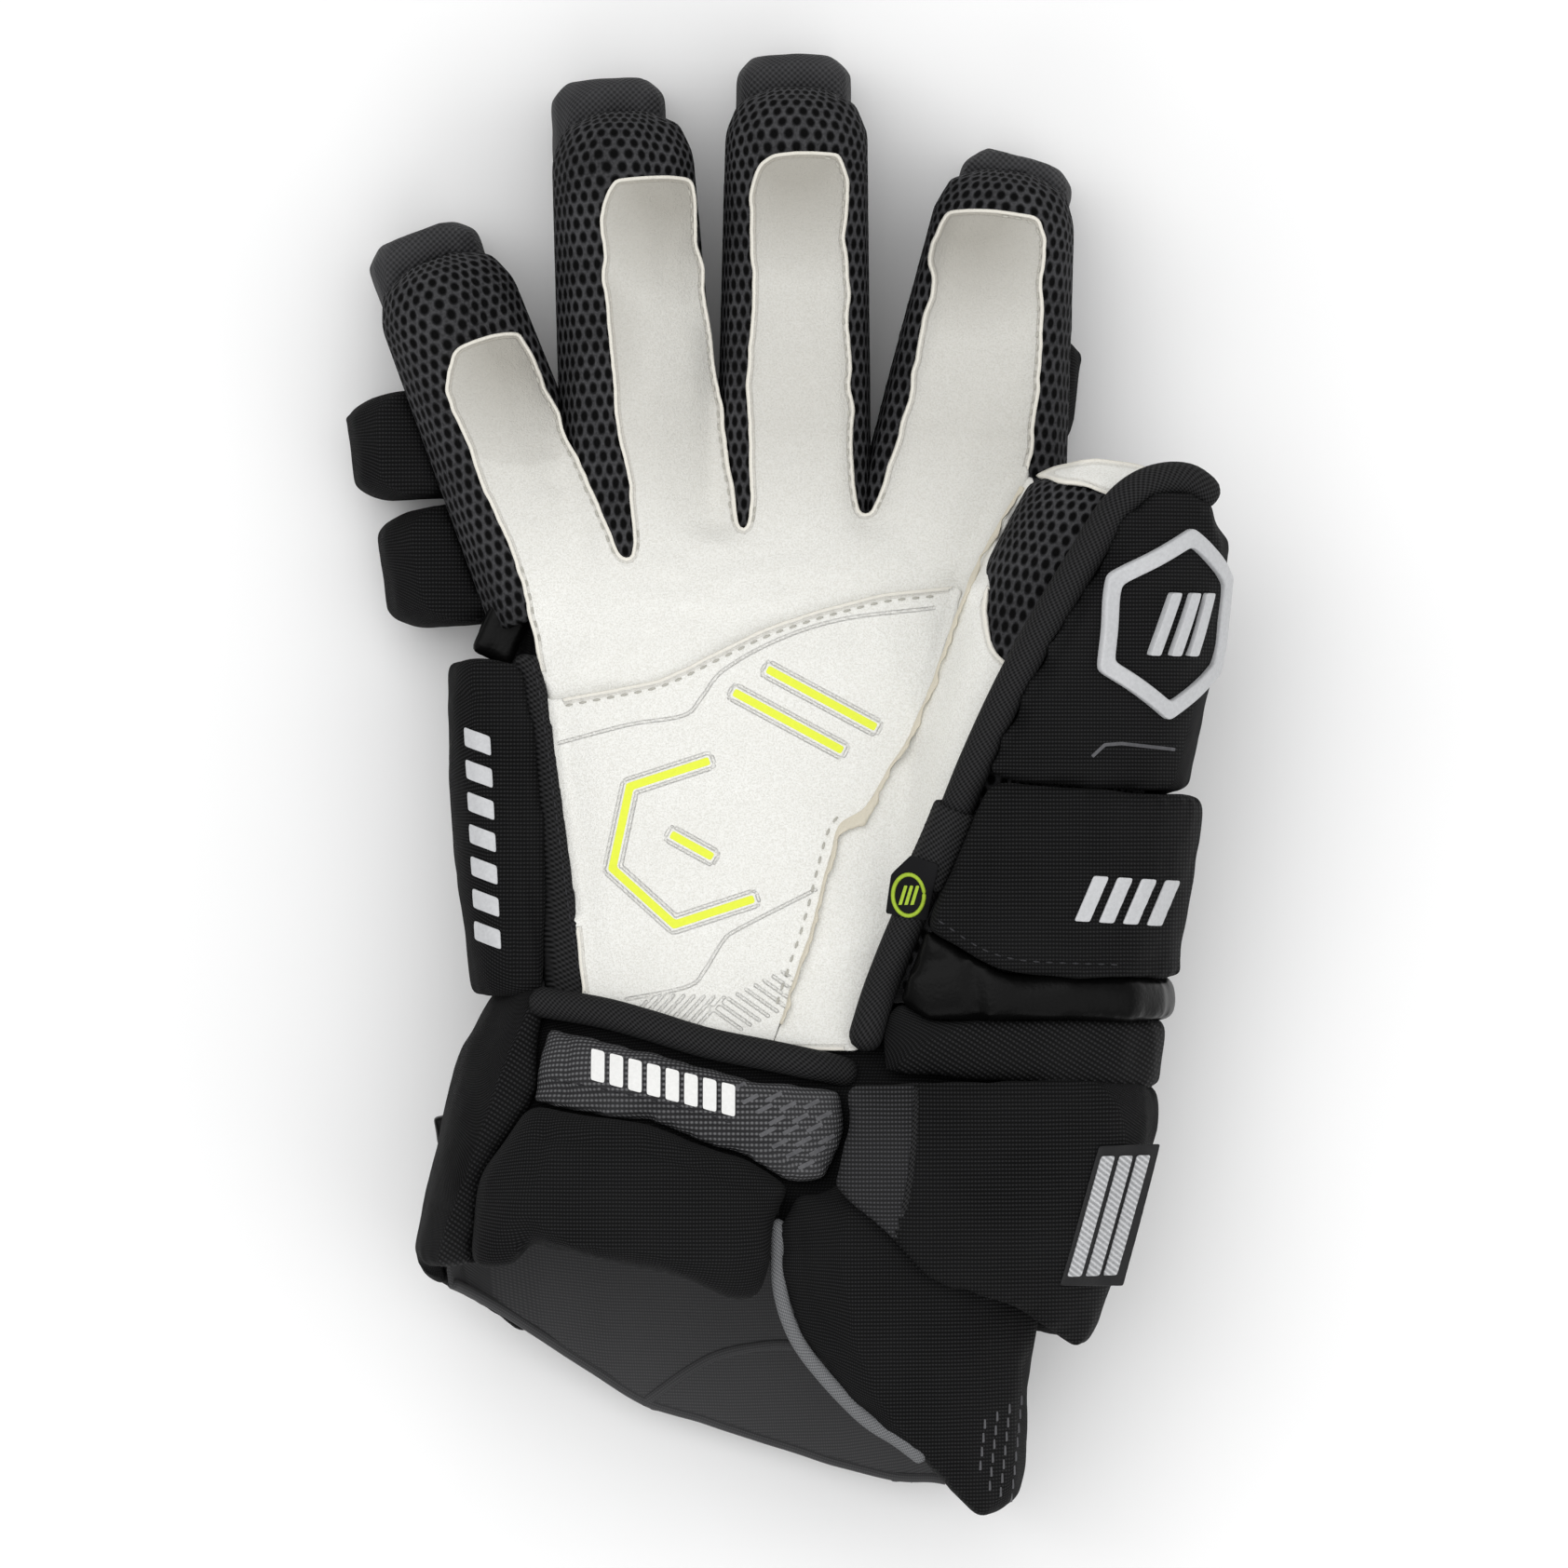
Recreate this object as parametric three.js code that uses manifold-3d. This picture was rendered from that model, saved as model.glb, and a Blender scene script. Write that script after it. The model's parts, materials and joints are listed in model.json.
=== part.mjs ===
// Ice hockey glove for the right hand, 14 inch, lying on its back with the palm up.
// Millimetres. +X is the thumb side, +Y the fingertips, +Z up out of the palm.
// The hollow that the hand fills is drawn first, as three kinds of loft: the hand with
// its cuff, the fingers and the thumb. Every cloth wall and pad is a layer between two
// distances from that hollow, trimmed to its own outline as seen from above the palm.

import * as THREE from "three";
import { mergeVertices } from "three/addons/utils/BufferGeometryUtils.js";
import Module from "manifold-3d";

const wasm = await Module();
wasm.setup();

// Distances outward from the hollow at which each layer starts and stops.
const gap = 0.3;
const simplifyTo = 0.08;
const liningOuter = 1.8;
const meshOuter = 3;
const palmInner = meshOuter + gap;
const palmOuter = palmInner + 1.5;
const patchInner = palmOuter + gap;
const patchOuter = patchInner + 1;
const tapeOuter = patchInner + 2.4;
const panelInner = liningOuter + gap;
const panelOuter = 8;
const strapOuter = 7.5;
const frontPadOuter = 13.5;
const sideFlapOuter = 9.5;
const backPadOuter = 9;
const thumbShellOuter = 13.5;
const thumbRollOuter = 18;
const thumbLeatherPadOuter = 16;
const thumbBasePanelOuter = 14;

// Heights above the table.
const tableDip = 0.8;
const handSplit = 40;
const cuffSplit = 50;
const aboveAll = 140;
const belowAll = -30;

// The hollow of the hand and cuff, a row for each section from the knuckles to the mouth.
const handRows = [
  { y: 56, left: -68, right: 52, low: 19, high: 45 },
  { y: 30, left: -66, right: 55, low: 16, high: 52 },
  { y: 8, left: -60, right: 57, low: 16, high: 55 },
  { y: -20, left: -57, right: 58, low: 16, high: 59 },
  { y: -45, left: -56, right: 60, low: 18, high: 63 },
  { y: -64, left: -69, right: 75, low: 19, high: 70 },
  { y: -112, left: -80.5, right: 53, low: 20, high: 84 },
  { y: -140, left: -78, right: 48, low: 17, high: 84 },
  { y: -184, left: -66, right: 47, low: 12, high: 76 },
];

// The hollow of the thumb, from its tip to where it runs out inside the cuff.
const thumbRows = [
  { y: 65, left: 58, right: 93, low: 51, high: 80 },
  { y: 50, left: 50, right: 92, low: 46, high: 81 },
  { y: 32, left: 45, right: 90.5, low: 40, high: 80 },
  { y: 14, left: 39, right: 86, low: 33, high: 77 },
  { y: -4, left: 34, right: 83, low: 27, high: 74 },
  { y: -40, left: 23, right: 77, low: 21, high: 69 },
  { y: -58, left: 19, right: 78, low: 21, high: 68 },
  { y: -71, left: 18, right: 74, low: 22, high: 66 },
];
const thumbDome = 7;

// The hollow of each finger: the centre of its round tip, and where it leaves the palm.
const fingers = [
  {
    name: "little",
    tip: { x: -81, y: 115.8, z: 38, halfWidth: 14, halfHeight: 11 },
    base: { x: -54, y: 45.1, z: 33, halfWidth: 15.5, halfHeight: 12.5 },
    roll: 14,
    strip: {
      left: [
        [-59.5, 31.7],
        [-66.6, 58.6],
        [-74.4, 76.4],
        [-81.6, 94.3],
        [-81.2, 103],
      ],
      right: [
        [-79.2, 106.8],
        [-64.2, 108.4],
        [-61.7, 103.3],
        [-53, 85.4],
        [-44.9, 67.5],
        [-38.6, 53],
      ],
    },
  },
  {
    name: "ring",
    tip: { x: -38.9, y: 150.8, z: 40, halfWidth: 14, halfHeight: 11 },
    base: { x: -33, y: 49.6, z: 33, halfWidth: 17.5, halfHeight: 12.5 },
    roll: 15,
    strip: {
      left: [
        [-36, 56.3],
        [-38.4, 76.4],
        [-40.9, 94.3],
        [-42.5, 112.2],
        [-43.8, 130],
        [-43.4, 138],
        [-41.8, 143.8],
      ],
      right: [
        [-22.6, 145.3],
        [-20.8, 141],
        [-20.4, 128],
        [-17.9, 112.2],
        [-15.4, 94.3],
        [-13, 76.4],
        [-10.3, 60.2],
      ],
    },
  },
  {
    name: "middle",
    tip: { x: 3, y: 156.6, z: 40, halfWidth: 14, halfHeight: 11 },
    base: { x: 2.2, y: 54.1, z: 33, halfWidth: 16, halfHeight: 12.5 },
    roll: 3,
    strip: {
      left: [
        [-8.6, 63],
        [-8.3, 80],
        [-9.2, 96],
        [-7.8, 114],
        [-8, 130.1],
        [-8.2, 141],
        [-5.2, 149.8],
      ],
      right: [
        [13.2, 150.4],
        [15.6, 146.8],
        [14.9, 130.1],
        [15.6, 114],
        [16.5, 98],
        [16.6, 80],
        [18, 68],
        [20.3, 64.6],
      ],
    },
  },
  {
    name: "index",
    tip: { x: 53, y: 136.6, z: 38, halfWidth: 14, halfHeight: 11 },
    base: { x: 41, y: 54.1, z: 33, halfWidth: 24, halfHeight: 12.5 },
    roll: -5,
    strip: {
      left: [
        [22.1, 67.5],
        [27.7, 85.4],
        [31.5, 103.3],
        [34.6, 121.1],
        [35, 129],
        [38.9, 136.2],
      ],
      right: [
        [58.6, 135.4],
        [62.2, 131],
        [62.6, 114],
        [61.2, 94.3],
        [59, 76.4],
      ],
    },
  },
];
const fingerDome = 8;

// Caps and pads on the backs of the fingers, with the turn from +Y in degrees.
const cap = { halfLength: 19.5, halfWidth: 13.6, low: 2, high: 36, finish: "nylon" };
const pad = { low: -tableDip, high: 24, finish: "knit" };
const fingerBlocks = [
  { name: "tip_cap_little", x: -82.4, y: 114.8, turn: 19.6, ...cap },
  { name: "tip_cap_ring", x: -42, y: 150.6, turn: 3, ...cap },
  { name: "tip_cap_middle", x: 2.3, y: 156.4, turn: 0, ...cap },
  { name: "tip_cap_index", x: 52.6, y: 132.4, turn: -15, ...cap },
  { name: "finger_pad_ring_outer", x: -36, y: 112.4, turn: 3, ...pad, halfLength: 15.6, halfWidth: 17 },
  { name: "finger_pad_ring_inner", x: -33.6, y: 79.8, turn: 3, ...pad, halfLength: 15, halfWidth: 17 },
  { name: "finger_pad_middle_outer", x: 3, y: 118.8, turn: 0, ...pad, halfLength: 15.8, halfWidth: 17.5 },
  { name: "finger_pad_middle_inner", x: 3, y: 83, turn: 0, ...pad, halfLength: 18, halfWidth: 17.5 },
  { name: "finger_pad_index_outer", x: 48.8, y: 97.4, turn: -8, ...pad, halfLength: 14.4, halfWidth: 22.5 },
  { name: "finger_pad_index_inner", x: 44.8, y: 68.6, turn: -8, ...pad, halfLength: 12.6, halfWidth: 22.5 },
  {
    name: "finger_pad_little_outer",
    x: -79,
    y: 83.4,
    turn: 6,
    ...pad,
    halfLength: 12.6,
    halfWidth: 26.4,
    high: 36,
  },
  {
    name: "finger_pad_little_inner",
    x: -71.5,
    y: 54.4,
    turn: 8,
    ...pad,
    halfLength: 14.2,
    halfWidth: 26,
    high: 36,
  },
];

// Outlines seen from above the palm.
const thumbWeb = [
  [57.7, 72],
  [48.7, 56.3],
  [44.6, 48],
  [39.4, 34],
  [36, 23.9],
  [31, 12],
  [19.7, -6.3],
  [13.6, -9.6],
  [11, -19.7],
  [7.6, -33.1],
  [2, -47.6],
  [-2, -60],
];
const palmHeelEdge = [
  [-2, -60],
  [-24, -58.5],
  [-46, -50.5],
];
const tapeInnerEdge = [
  [-46, -50.5],
  [-49.4, -30.8],
  [-53, -4],
  [-56.8, 22.8],
  [-59.2, 31],
];
const tapeOuterEdge = [
  [-64.6, 31],
  [-61.7, -4],
  [-58.6, -35],
  [-56, -50.5],
];
const patchTopEdge = [
  [-56, 20.1],
  [-42.9, 22.4],
  [-29.5, 25],
  [-18.3, 30.6],
  [-4.9, 37.3],
  [8.5, 41.8],
  [24.1, 45.8],
  [42.6, 47.6],
];
const thumbMeshWindow = [
  [60.6, 73.4],
  [55.4, 67.5],
  [51, 59.7],
  [48.7, 51.9],
  [47.8, 40.7],
  [49.4, 31.7],
  [54.3, 27.6],
  [60, 35],
  [69, 49],
  [76.5, 62],
  [78.4, 67.4],
];
// The edge of the padded thumb shell, which carries the rolled binding, from cuff to tip.
const thumbEdge = [
  [18.4, -63.5],
  [23, -48.7],
  [30.2, -30.8],
  [38.2, -13],
  [45.4, 4.9],
  [53.6, 22.8],
  [62.4, 39],
  [70.6, 52.6],
  [78.6, 65.2],
  [86.5, 71.2],
  [95.5, 72.2],
  [102.4, 67.4],
];
const thumbTipLeatherOutline = [
  [59.4, 73.9],
  [66, 71.6],
  [70.4, 71.2],
  [78.6, 67.9],
  [84, 72.4],
  [96, 74.4],
  [104, 70],
  [110, 90],
  [50, 90],
  [50, 73.9],
];
const thumbRollTop = [
  [49.4, 0.9],
  [60, -0.5],
  [110, -4],
];
const thumbRollFoot = [
  [34, -34.5],
  [52, -44.6],
  [110, -47],
];
const thumbPadFoot = [
  [27.5, -51.5],
  [34, -55.6],
  [110, -56],
];
const cuffTop = [
  [14, -68.6],
  [24, -67.4],
  [110, -72],
];
const strapOutline = [
  [-56.6, -58.4],
  [-42.9, -61],
  [-27.3, -65],
  [-9.4, -69.6],
  [4, -71.6],
  [13.4, -73],
  [14.4, -82],
  [9.8, -93.4],
  [1.5, -94.6],
  [-9.4, -88.4],
  [-31.7, -80.6],
  [-54.1, -77],
  [-59.4, -75.8],
];
const frontPadOutline = [
  [-60.4, -77.2],
  [-54.1, -78.2],
  [-31.7, -81.8],
  [-9.4, -89.8],
  [0.6, -96],
  [-2.4, -101.9],
  [-3.6, -109.1],
  [-5.2, -119],
  [-9.4, -122],
  [-23.9, -116.2],
  [-45.1, -111.3],
  [-60.3, -108.4],
  [-64.4, -113.6],
  [-74.6, -115],
  [-71.4, -93],
];
const leftPanelOutline = [
  [-120, -51.5],
  [-57.2, -51.5],
  [-60.1, -76],
  [-72, -93],
  [-75.2, -115.1],
  [-120, -113.6],
];
const leftPanelBackEdge = [
  [-120, -51.5],
  [-60, -51.5],
  [-60, -134],
  [-74.2, -124.7],
  [-87.6, -116.9],
  [-120, -113.6],
];
const sideFlapOutline = [
  [2, -97.2],
  [11.4, -95.6],
  [15.8, -84],
  [15, -76],
  [110, -76],
  [110, -150],
  [58.5, -158],
  [55, -175],
  [47, -178.6],
  [39.8, -171.6],
  [33.1, -160.9],
  [24.1, -153.8],
  [13, -142.6],
  [2.9, -129.2],
  [-0.4, -118],
  [-0.6, -104],
];
const sideFlapBackEdge = [
  [38, -76],
  [110, -76],
  [110, -150],
  [58.5, -158],
  [55, -175],
  [47, -178.6],
  [38, -172.5],
];
const backPadOutline = [
  [-59.4, -71.2],
  [37.4, -71.2],
  [37.4, -172.3],
  [13, -166.1],
  [-18.3, -156],
  [-34, -151.5],
  [-59.4, -134.5],
];
const mouthFrontEdge = [
  [-120, -113.6],
  [-66.4, -115.1],
  [-60.3, -108.6],
  [-23.9, -116.4],
  [-9.4, -122.2],
  [-5.2, -119.6],
  [-2.2, -102.4],
  [-0.6, -102.4],
  [-0.4, -118],
  [2.9, -129.2],
  [13, -142.6],
  [24.1, -153.8],
  [33.1, -160.9],
  [39.8, -171.6],
  [47, -178.6],
  [55, -175],
  [58.5, -158],
  [120, -150],
];
const mouthBackEdge = [
  [-120, -113.6],
  [-87.6, -116.9],
  [-74.2, -124.7],
  [-34, -151.5],
  [-18.3, -156],
  [13, -166.1],
  [38, -172.4],
  [47, -178.6],
  [55, -175],
  [58.5, -158],
  [120, -150],
];
const wristRopePath = [
  [-57, -52.6],
  [-42.9, -54.6],
  [-31.7, -57.6],
  [-18.3, -61.6],
  [-1.3, -65],
  [10.4, -67.4],
];
const ropeRadius = 4.2;
const wristRopeRadius = 3.8;

// The outside of the big cuff roll, which stands off the thumb side of the cuff.
const cuffRollRows = [
  { y: -71, left: -78, right: 90, low: -tableDip, high: 88 },
  { y: -80, left: -82, right: 90, low: -tableDip, high: 93 },
  { y: -106, left: -84, right: 83, low: -tableDip, high: 99 },
  { y: -137, left: -80, right: 72, low: -tableDip, high: 97 },
];
const cuffRollFront = [
  [14, -71.4],
  [24, -68.4],
  [110, -71],
  [110, -137],
  [71.5, -135],
  [55.4, -124.4],
  [35.3, -118.4],
  [24.1, -107.2],
  [11.6, -96],
  [15, -82],
];
const cuffRollBack = [
  [-83.4, -80],
  [-70, -73],
  [110, -73],
  [110, -137],
  [-60, -118],
  [-83, -90],
];

const sidePadRows = [
  { y: 30, left: -80.5, right: -58, low: 14, high: 56 },
  { y: 8, left: -80, right: -56, low: 13, high: 59 },
  { y: -20, left: -78, right: -54, low: 13, high: 62 },
  { y: -48, left: -74.5, right: -52, low: 14, high: 64 },
];

// Foam rolls across the back of the hand, a row for each from the knuckles to the wrist.
const backRollRows = [
  { name: "knuckle_roll", y: 42, halfLength: 12.5, left: -72, right: 59 },
  { name: "back_roll_1", y: 15.5, halfLength: 12.5, left: -70, right: 59 },
  { name: "back_roll_2", y: -11, halfLength: 12.5, left: -67, right: 59 },
  { name: "back_roll_3", y: -37.5, halfLength: 12.5, left: -63, right: 59 },
  { name: "back_roll_4", y: -61, halfLength: 9.5, left: -59.5, right: 59 },
];
const backRollThickness = 16;
const backRollRise = 9;

const colours = {
  suede: { color: 0xe9e6df, roughness: 0.9, metalness: 0 },
  mesh: { color: 0x1b1b1c, roughness: 0.85, metalness: 0 },
  knit: { color: 0x141415, roughness: 0.8, metalness: 0 },
  nylon: { color: 0x242426, roughness: 0.7, metalness: 0 },
  leather: { color: 0x101011, roughness: 0.45, metalness: 0 },
  lining: { color: 0x4a4a4b, roughness: 0.9, metalness: 0 },
  rubber: { color: 0xb9babb, roughness: 0.5, metalness: 0 },
};

function toSolid(geometry) {
  const bare = geometry.clone();
  bare.deleteAttribute("normal");
  bare.deleteAttribute("uv");
  const merged = mergeVertices(bare, 1e-3);
  return new wasm.Manifold(
    new wasm.Mesh({
      numProp: 3,
      vertProperties: merged.attributes.position.array,
      triVerts: new Uint32Array(merged.index.array),
    }),
  );
}

function toGeometry(solid) {
  const made = solid.getMesh();
  const position = new Float32Array(made.numVert * 3);
  for (let i = 0; i < made.numVert; i++) {
    const from = i * made.numProp;
    position.set(made.vertProperties.subarray(from, from + 3), i * 3);
  }
  const geometry = new THREE.BufferGeometry()
    .setAttribute("position", new THREE.BufferAttribute(position, 3))
    .setIndex(new THREE.BufferAttribute(made.triVerts, 1));
  geometry.computeVertexNormals();
  return geometry;
}

// The largest of the separate bodies that trimming may leave.
function mainBody(solid) {
  const bodies = solid.decompose();
  return bodies.reduce((best, b) => (b.volume() > best.volume() ? b : best));
}

const join = (solids) => solids.reduce((all, next) => all.add(next));

// A rounded-box ring in the plane of across and up, turning from across to up.
function ring(frame, count, power) {
  const bulge = (v) => Math.sign(v) * Math.abs(v) ** (2 / power);
  return Array.from({ length: count }, (_, k) => {
    const turn = (2 * Math.PI * k) / count;
    return frame.origin
      .clone()
      .addScaledVector(frame.across, frame.halfWidth * bulge(Math.cos(turn)))
      .addScaledVector(frame.up, frame.halfHeight * bulge(Math.sin(turn)));
  });
}

// A closed skin over rings that follow each other along across x up, with flat ends.
function loft(frames, count, power) {
  const rings = frames.map((frame) => ring(frame, count, power));
  const index = [];
  for (let r = 0; r + 1 < rings.length; r++) {
    for (let k = 0; k < count; k++) {
      const a = r * count + k;
      const b = r * count + ((k + 1) % count);
      index.push(a, b, a + count, b, b + count, a + count);
    }
  }
  const last = (rings.length - 1) * count;
  for (let k = 1; k + 1 < count; k++) {
    index.push(0, k + 1, k);
    index.push(last, last + k, last + k + 1);
  }
  const position = rings.flat().flatMap((p) => [p.x, p.y, p.z]);
  const geometry = new THREE.BufferGeometry()
    .setAttribute("position", new THREE.Float32BufferAttribute(position, 3))
    .setIndex(index);
  return toSolid(geometry);
}

// An upright section across the glove, grown outward from a table row.
function uprightFrame(row, grow, shiftY = 0, scale = 1) {
  return {
    origin: new THREE.Vector3(
      (row.left + row.right) / 2,
      row.y + shiftY,
      (row.low + row.high) / 2,
    ),
    across: new THREE.Vector3(1, 0, 0),
    up: new THREE.Vector3(0, 0, 1),
    halfWidth: ((row.right - row.left) / 2 + grow) * scale,
    halfHeight: ((row.high - row.low) / 2 + grow) * scale,
  };
}

// Steps round a quarter circle that close a loft with a dome: how far out, how wide.
const domeSteps = [76, 40].map((degrees) => ({
  reach: Math.sin(THREE.MathUtils.degToRad(degrees)),
  width: Math.cos(THREE.MathUtils.degToRad(degrees)) ** 0.7,
}));

const handCount = 20;
const thumbCount = 16;
const fingerCount = 12;
const squareness = 2.9;

function hand(grow) {
  const last = handRows.length - 1;
  const frames = handRows.map((row, i) => {
    const endShift = i === 0 ? grow : i === last ? -grow : 0;
    return uprightFrame(row, grow, endShift);
  });
  return loft(frames, handCount, squareness);
}

function thumb(grow) {
  const domed = domeSteps.map((step) =>
    uprightFrame(
      thumbRows[0],
      grow,
      (thumbDome + grow) * step.reach,
      step.width,
    ),
  );
  const last = thumbRows.length - 1;
  const plain = thumbRows.map((row, i) =>
    uprightFrame(row, grow, i === last ? -grow : 0),
  );
  return loft([...domed, ...plain], thumbCount, 2.4);
}

// A finger's own directions, and any point along it: share 0 at the base, 1 at the tip.
function fingerAxes(finger) {
  const base = new THREE.Vector3(finger.base.x, finger.base.y, 0);
  const tip = new THREE.Vector3(finger.tip.x, finger.tip.y, 0);
  const length = tip.distanceTo(base);
  const along = tip.clone().sub(base).normalize();
  const flat = new THREE.Vector3(along.y, -along.x, 0);
  const roll = THREE.MathUtils.degToRad(finger.roll);
  const up = new THREE.Vector3(0, 0, Math.cos(roll)).addScaledVector(
    flat,
    Math.sin(roll),
  );
  const across = flat
    .clone()
    .multiplyScalar(Math.cos(roll))
    .add(new THREE.Vector3(0, 0, -Math.sin(roll)));
  const lift = (share) =>
    finger.base.z + (finger.tip.z - finger.base.z) * Math.max(0, share) ** 2;
  const at = (share) => {
    const point = base.clone().addScaledVector(along, share * length);
    point.z = lift(share);
    return point;
  };
  return { length, along, flat, up, across, at };
}

const blendTo = (from, to, share) => from + (to - from) * share;

function finger(which, grow) {
  const axes = fingerAxes(which);
  const frameAt = (share, reach, width) => {
    const full = Math.min(share, 1);
    return {
      origin: axes.at(share).addScaledVector(axes.along, reach),
      across: axes.across,
      up: axes.up,
      halfWidth:
        (blendTo(which.base.halfWidth, which.tip.halfWidth, full) + grow) *
        width,
      halfHeight:
        (blendTo(which.base.halfHeight, which.tip.halfHeight, full) + grow) *
        width,
    };
  };
  const domed = domeSteps.map((step) =>
    frameAt(1, (fingerDome + grow) * step.reach, step.width),
  );
  const plain = [1, 0.55, 0].map((share) =>
    frameAt(share, share ? 0 : -grow, 1),
  );
  return loft([...domed, ...plain], fingerCount, 2.6);
}

// The whole hollow with every finger, grown outward by one distance.
const grown = new Map();
function glove(grow) {
  if (!grown.has(grow)) {
    const solids = [hand(grow), thumb(grow)];
    fingers.forEach((which) => solids.push(finger(which, grow)));
    grown.set(grow, join(solids));
  }
  return grown.get(grow);
}

// An outline seen from above, made upright between two heights.
function prism(outline, low = belowAll, high = aboveAll) {
  const shape = new THREE.Shape(outline.map(([x, y]) => new THREE.Vector2(x, y)));
  const geometry = new THREE.ExtrudeGeometry(shape, {
    depth: high - low,
    bevelEnabled: false,
  });
  geometry.translate(0, 0, low);
  return toSolid(geometry);
}

const layer = (inner, outer) => glove(outer).subtract(glove(inner));
const handLayer = (inner, outer) => hand(outer).subtract(hand(inner));

// Height of a solid's top surface over a point.
function heightOver(solid) {
  const surface = new THREE.Mesh(
    toGeometry(solid),
    new THREE.MeshBasicMaterial({ side: THREE.DoubleSide }),
  );
  const ray = new THREE.Raycaster();
  const down = new THREE.Vector3(0, 0, -1);
  return (x, y) => {
    ray.set(new THREE.Vector3(x, y, aboveAll), down);
    const [hit] = ray.intersectObject(surface);
    return hit ? hit.point.z : undefined;
  };
}

// A round rolled edge along a path of points in space.
function rope(points, radius, sides = 8, steps = 24) {
  const section = new THREE.Shape();
  for (let k = 0; k < sides; k++) {
    const turn = (2 * Math.PI * k) / sides;
    const x = radius * Math.cos(turn);
    const y = radius * Math.sin(turn);
    if (k === 0) section.moveTo(x, y);
    else section.lineTo(x, y);
  }
  section.closePath();
  const path = new THREE.CatmullRomCurve3(points);
  const geometry = new THREE.ExtrudeGeometry(section, {
    steps,
    extrudePath: path,
    bevelEnabled: false,
  });
  return toSolid(geometry);
}

const material = Object.fromEntries(
  Object.entries(colours).map(([name, look]) => [
    name,
    new THREE.MeshStandardMaterial(look),
  ]),
);
const gloveGroup = new THREE.Group();
const aboveTable = prism(
  [
    [-200, -250],
    [200, -250],
    [200, 250],
    [-200, 250],
  ],
  0,
);
function add(name, solid, finish) {
  const trimmed = solid.intersect(aboveTable).simplify(simplifyTo);
  const body = mainBody(toSolid(toGeometry(trimmed)));
  const mesh = new THREE.Mesh(toGeometry(body), material[finish]);
  mesh.name = name;
  gloveGroup.add(mesh);
}

const hollow = glove(0);
const slab = (lowY, highY, low, high) =>
  prism(
    [
      [-130, lowY],
      [130, lowY],
      [130, highY],
      [-130, highY],
    ],
    low,
    high,
  );

// Palm: one suede skin with a strip up each finger, and the glued patch on its heel.
const palmOutline = [
  ...fingers.flatMap((which) => [...which.strip.left, ...which.strip.right]),
  ...thumbWeb,
  ...palmHeelEdge.slice(1, -1),
  ...tapeInnerEdge.slice(0, -1),
];
const palmLow = 34;
function palm() {
  return layer(palmInner, palmOuter)
    .intersect(prism(palmOutline, palmLow))
    .subtract(wristRopeClear);
}

function palmPatch() {
  const outline = [
    ...patchTopEdge,
    ...thumbWeb.slice(3).map(([x, y]) => [x - 1, y]),
    ...palmHeelEdge.slice(1, -1),
    ...tapeInnerEdge.slice(0, 3).map(([x, y]) => [x + 0.4, y]),
  ];
  return layer(patchInner, patchOuter)
    .intersect(prism(outline, palmLow))
    .subtract(wristRopeClear);
}

function sideTape() {
  const outline = [...tapeInnerEdge.map(([x, y]) => [x - gap, y]), ...tapeOuterEdge];
  return handLayer(palmInner, tapeOuter)
    .intersect(prism(outline, palmLow))
    .subtract(wristRopeClear);
}

// Finger tubes of spacer mesh, each cut back where it meets its neighbour.
function fingerTube(which, neighbour) {
  const tube = finger(which, meshOuter)
    .subtract(hollow)
    .subtract(hand(panelInner));
  const clear = neighbour
    ? tube.subtract(finger(neighbour, palmInner))
    : tube;
  return which.name === "index" ? clear.subtract(thumb(palmInner)) : clear;
}

// A foam block on the back of a finger, round at both ends.
function fingerBlock(block, grow) {
  const turn = THREE.MathUtils.degToRad(block.turn);
  const along = new THREE.Vector3(-Math.sin(turn), Math.cos(turn), 0);
  const across = new THREE.Vector3(Math.cos(turn), Math.sin(turn), 0);
  const ends = [
    { step: 0, width: 0.7 },
    { step: 4, width: 1 },
  ];
  const half = block.halfLength + grow;
  const stations = [
    ...ends.map((end) => ({ reach: half - end.step, width: end.width })),
    ...ends.toReversed().map((end) => ({ reach: end.step - half, width: end.width })),
  ];
  const frames = stations.map(({ reach, width }) => ({
    origin: new THREE.Vector3(block.x, block.y, (block.low + block.high) / 2).addScaledVector(
      along,
      reach,
    ),
    across,
    up: new THREE.Vector3(0, 0, 1),
    halfWidth: block.halfWidth * width + grow,
    halfHeight: ((block.high - block.low) / 2) * (0.4 + 0.6 * width) + grow,
  }));
  return loft(frames, 12, 3.2);
}

// Blocks are placed in order, and each later one gives way to those before it.
const fingerNest = join(fingers.map((which) => finger(which, palmInner))).add(hand(panelInner));
function fingerPads() {
  const placed = [];
  fingerBlocks.forEach((block) => {
    const clear = join([fingerNest, ...placed]);
    add(block.name, fingerBlock(block, 0).subtract(clear), block.finish);
    placed.push(fingerBlock(block, gap));
  });
  return placed;
}

// A foam roll across the back of the hand, its ends turned up round the hand's sides.
function backRoll(row) {
  const middle = (row.left + row.right) / 2;
  const half = (row.right - row.left) / 2;
  const shares = [-1, -0.94, -0.78, 0, 0.78, 0.94, 1];
  const frames = shares.map((share) => {
    const taper = Math.sqrt(1 - (0.86 * share ** 6) ** 2);
    return {
      origin: new THREE.Vector3(
        middle + half * share,
        row.y,
        backRollThickness / 2 - tableDip + backRollRise * share ** 6,
      ),
      across: new THREE.Vector3(0, 1, 0),
      up: new THREE.Vector3(0, 0, 1),
      halfWidth: row.halfLength * (0.45 + 0.55 * taper),
      halfHeight: (backRollThickness / 2) * taper,
    };
  });
  return loft(frames, 12, 3);
}

function sidePad(grow) {
  return loft(sidePadRows.map((row) => uprightFrame(row, grow)), 16, 3);
}

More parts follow.
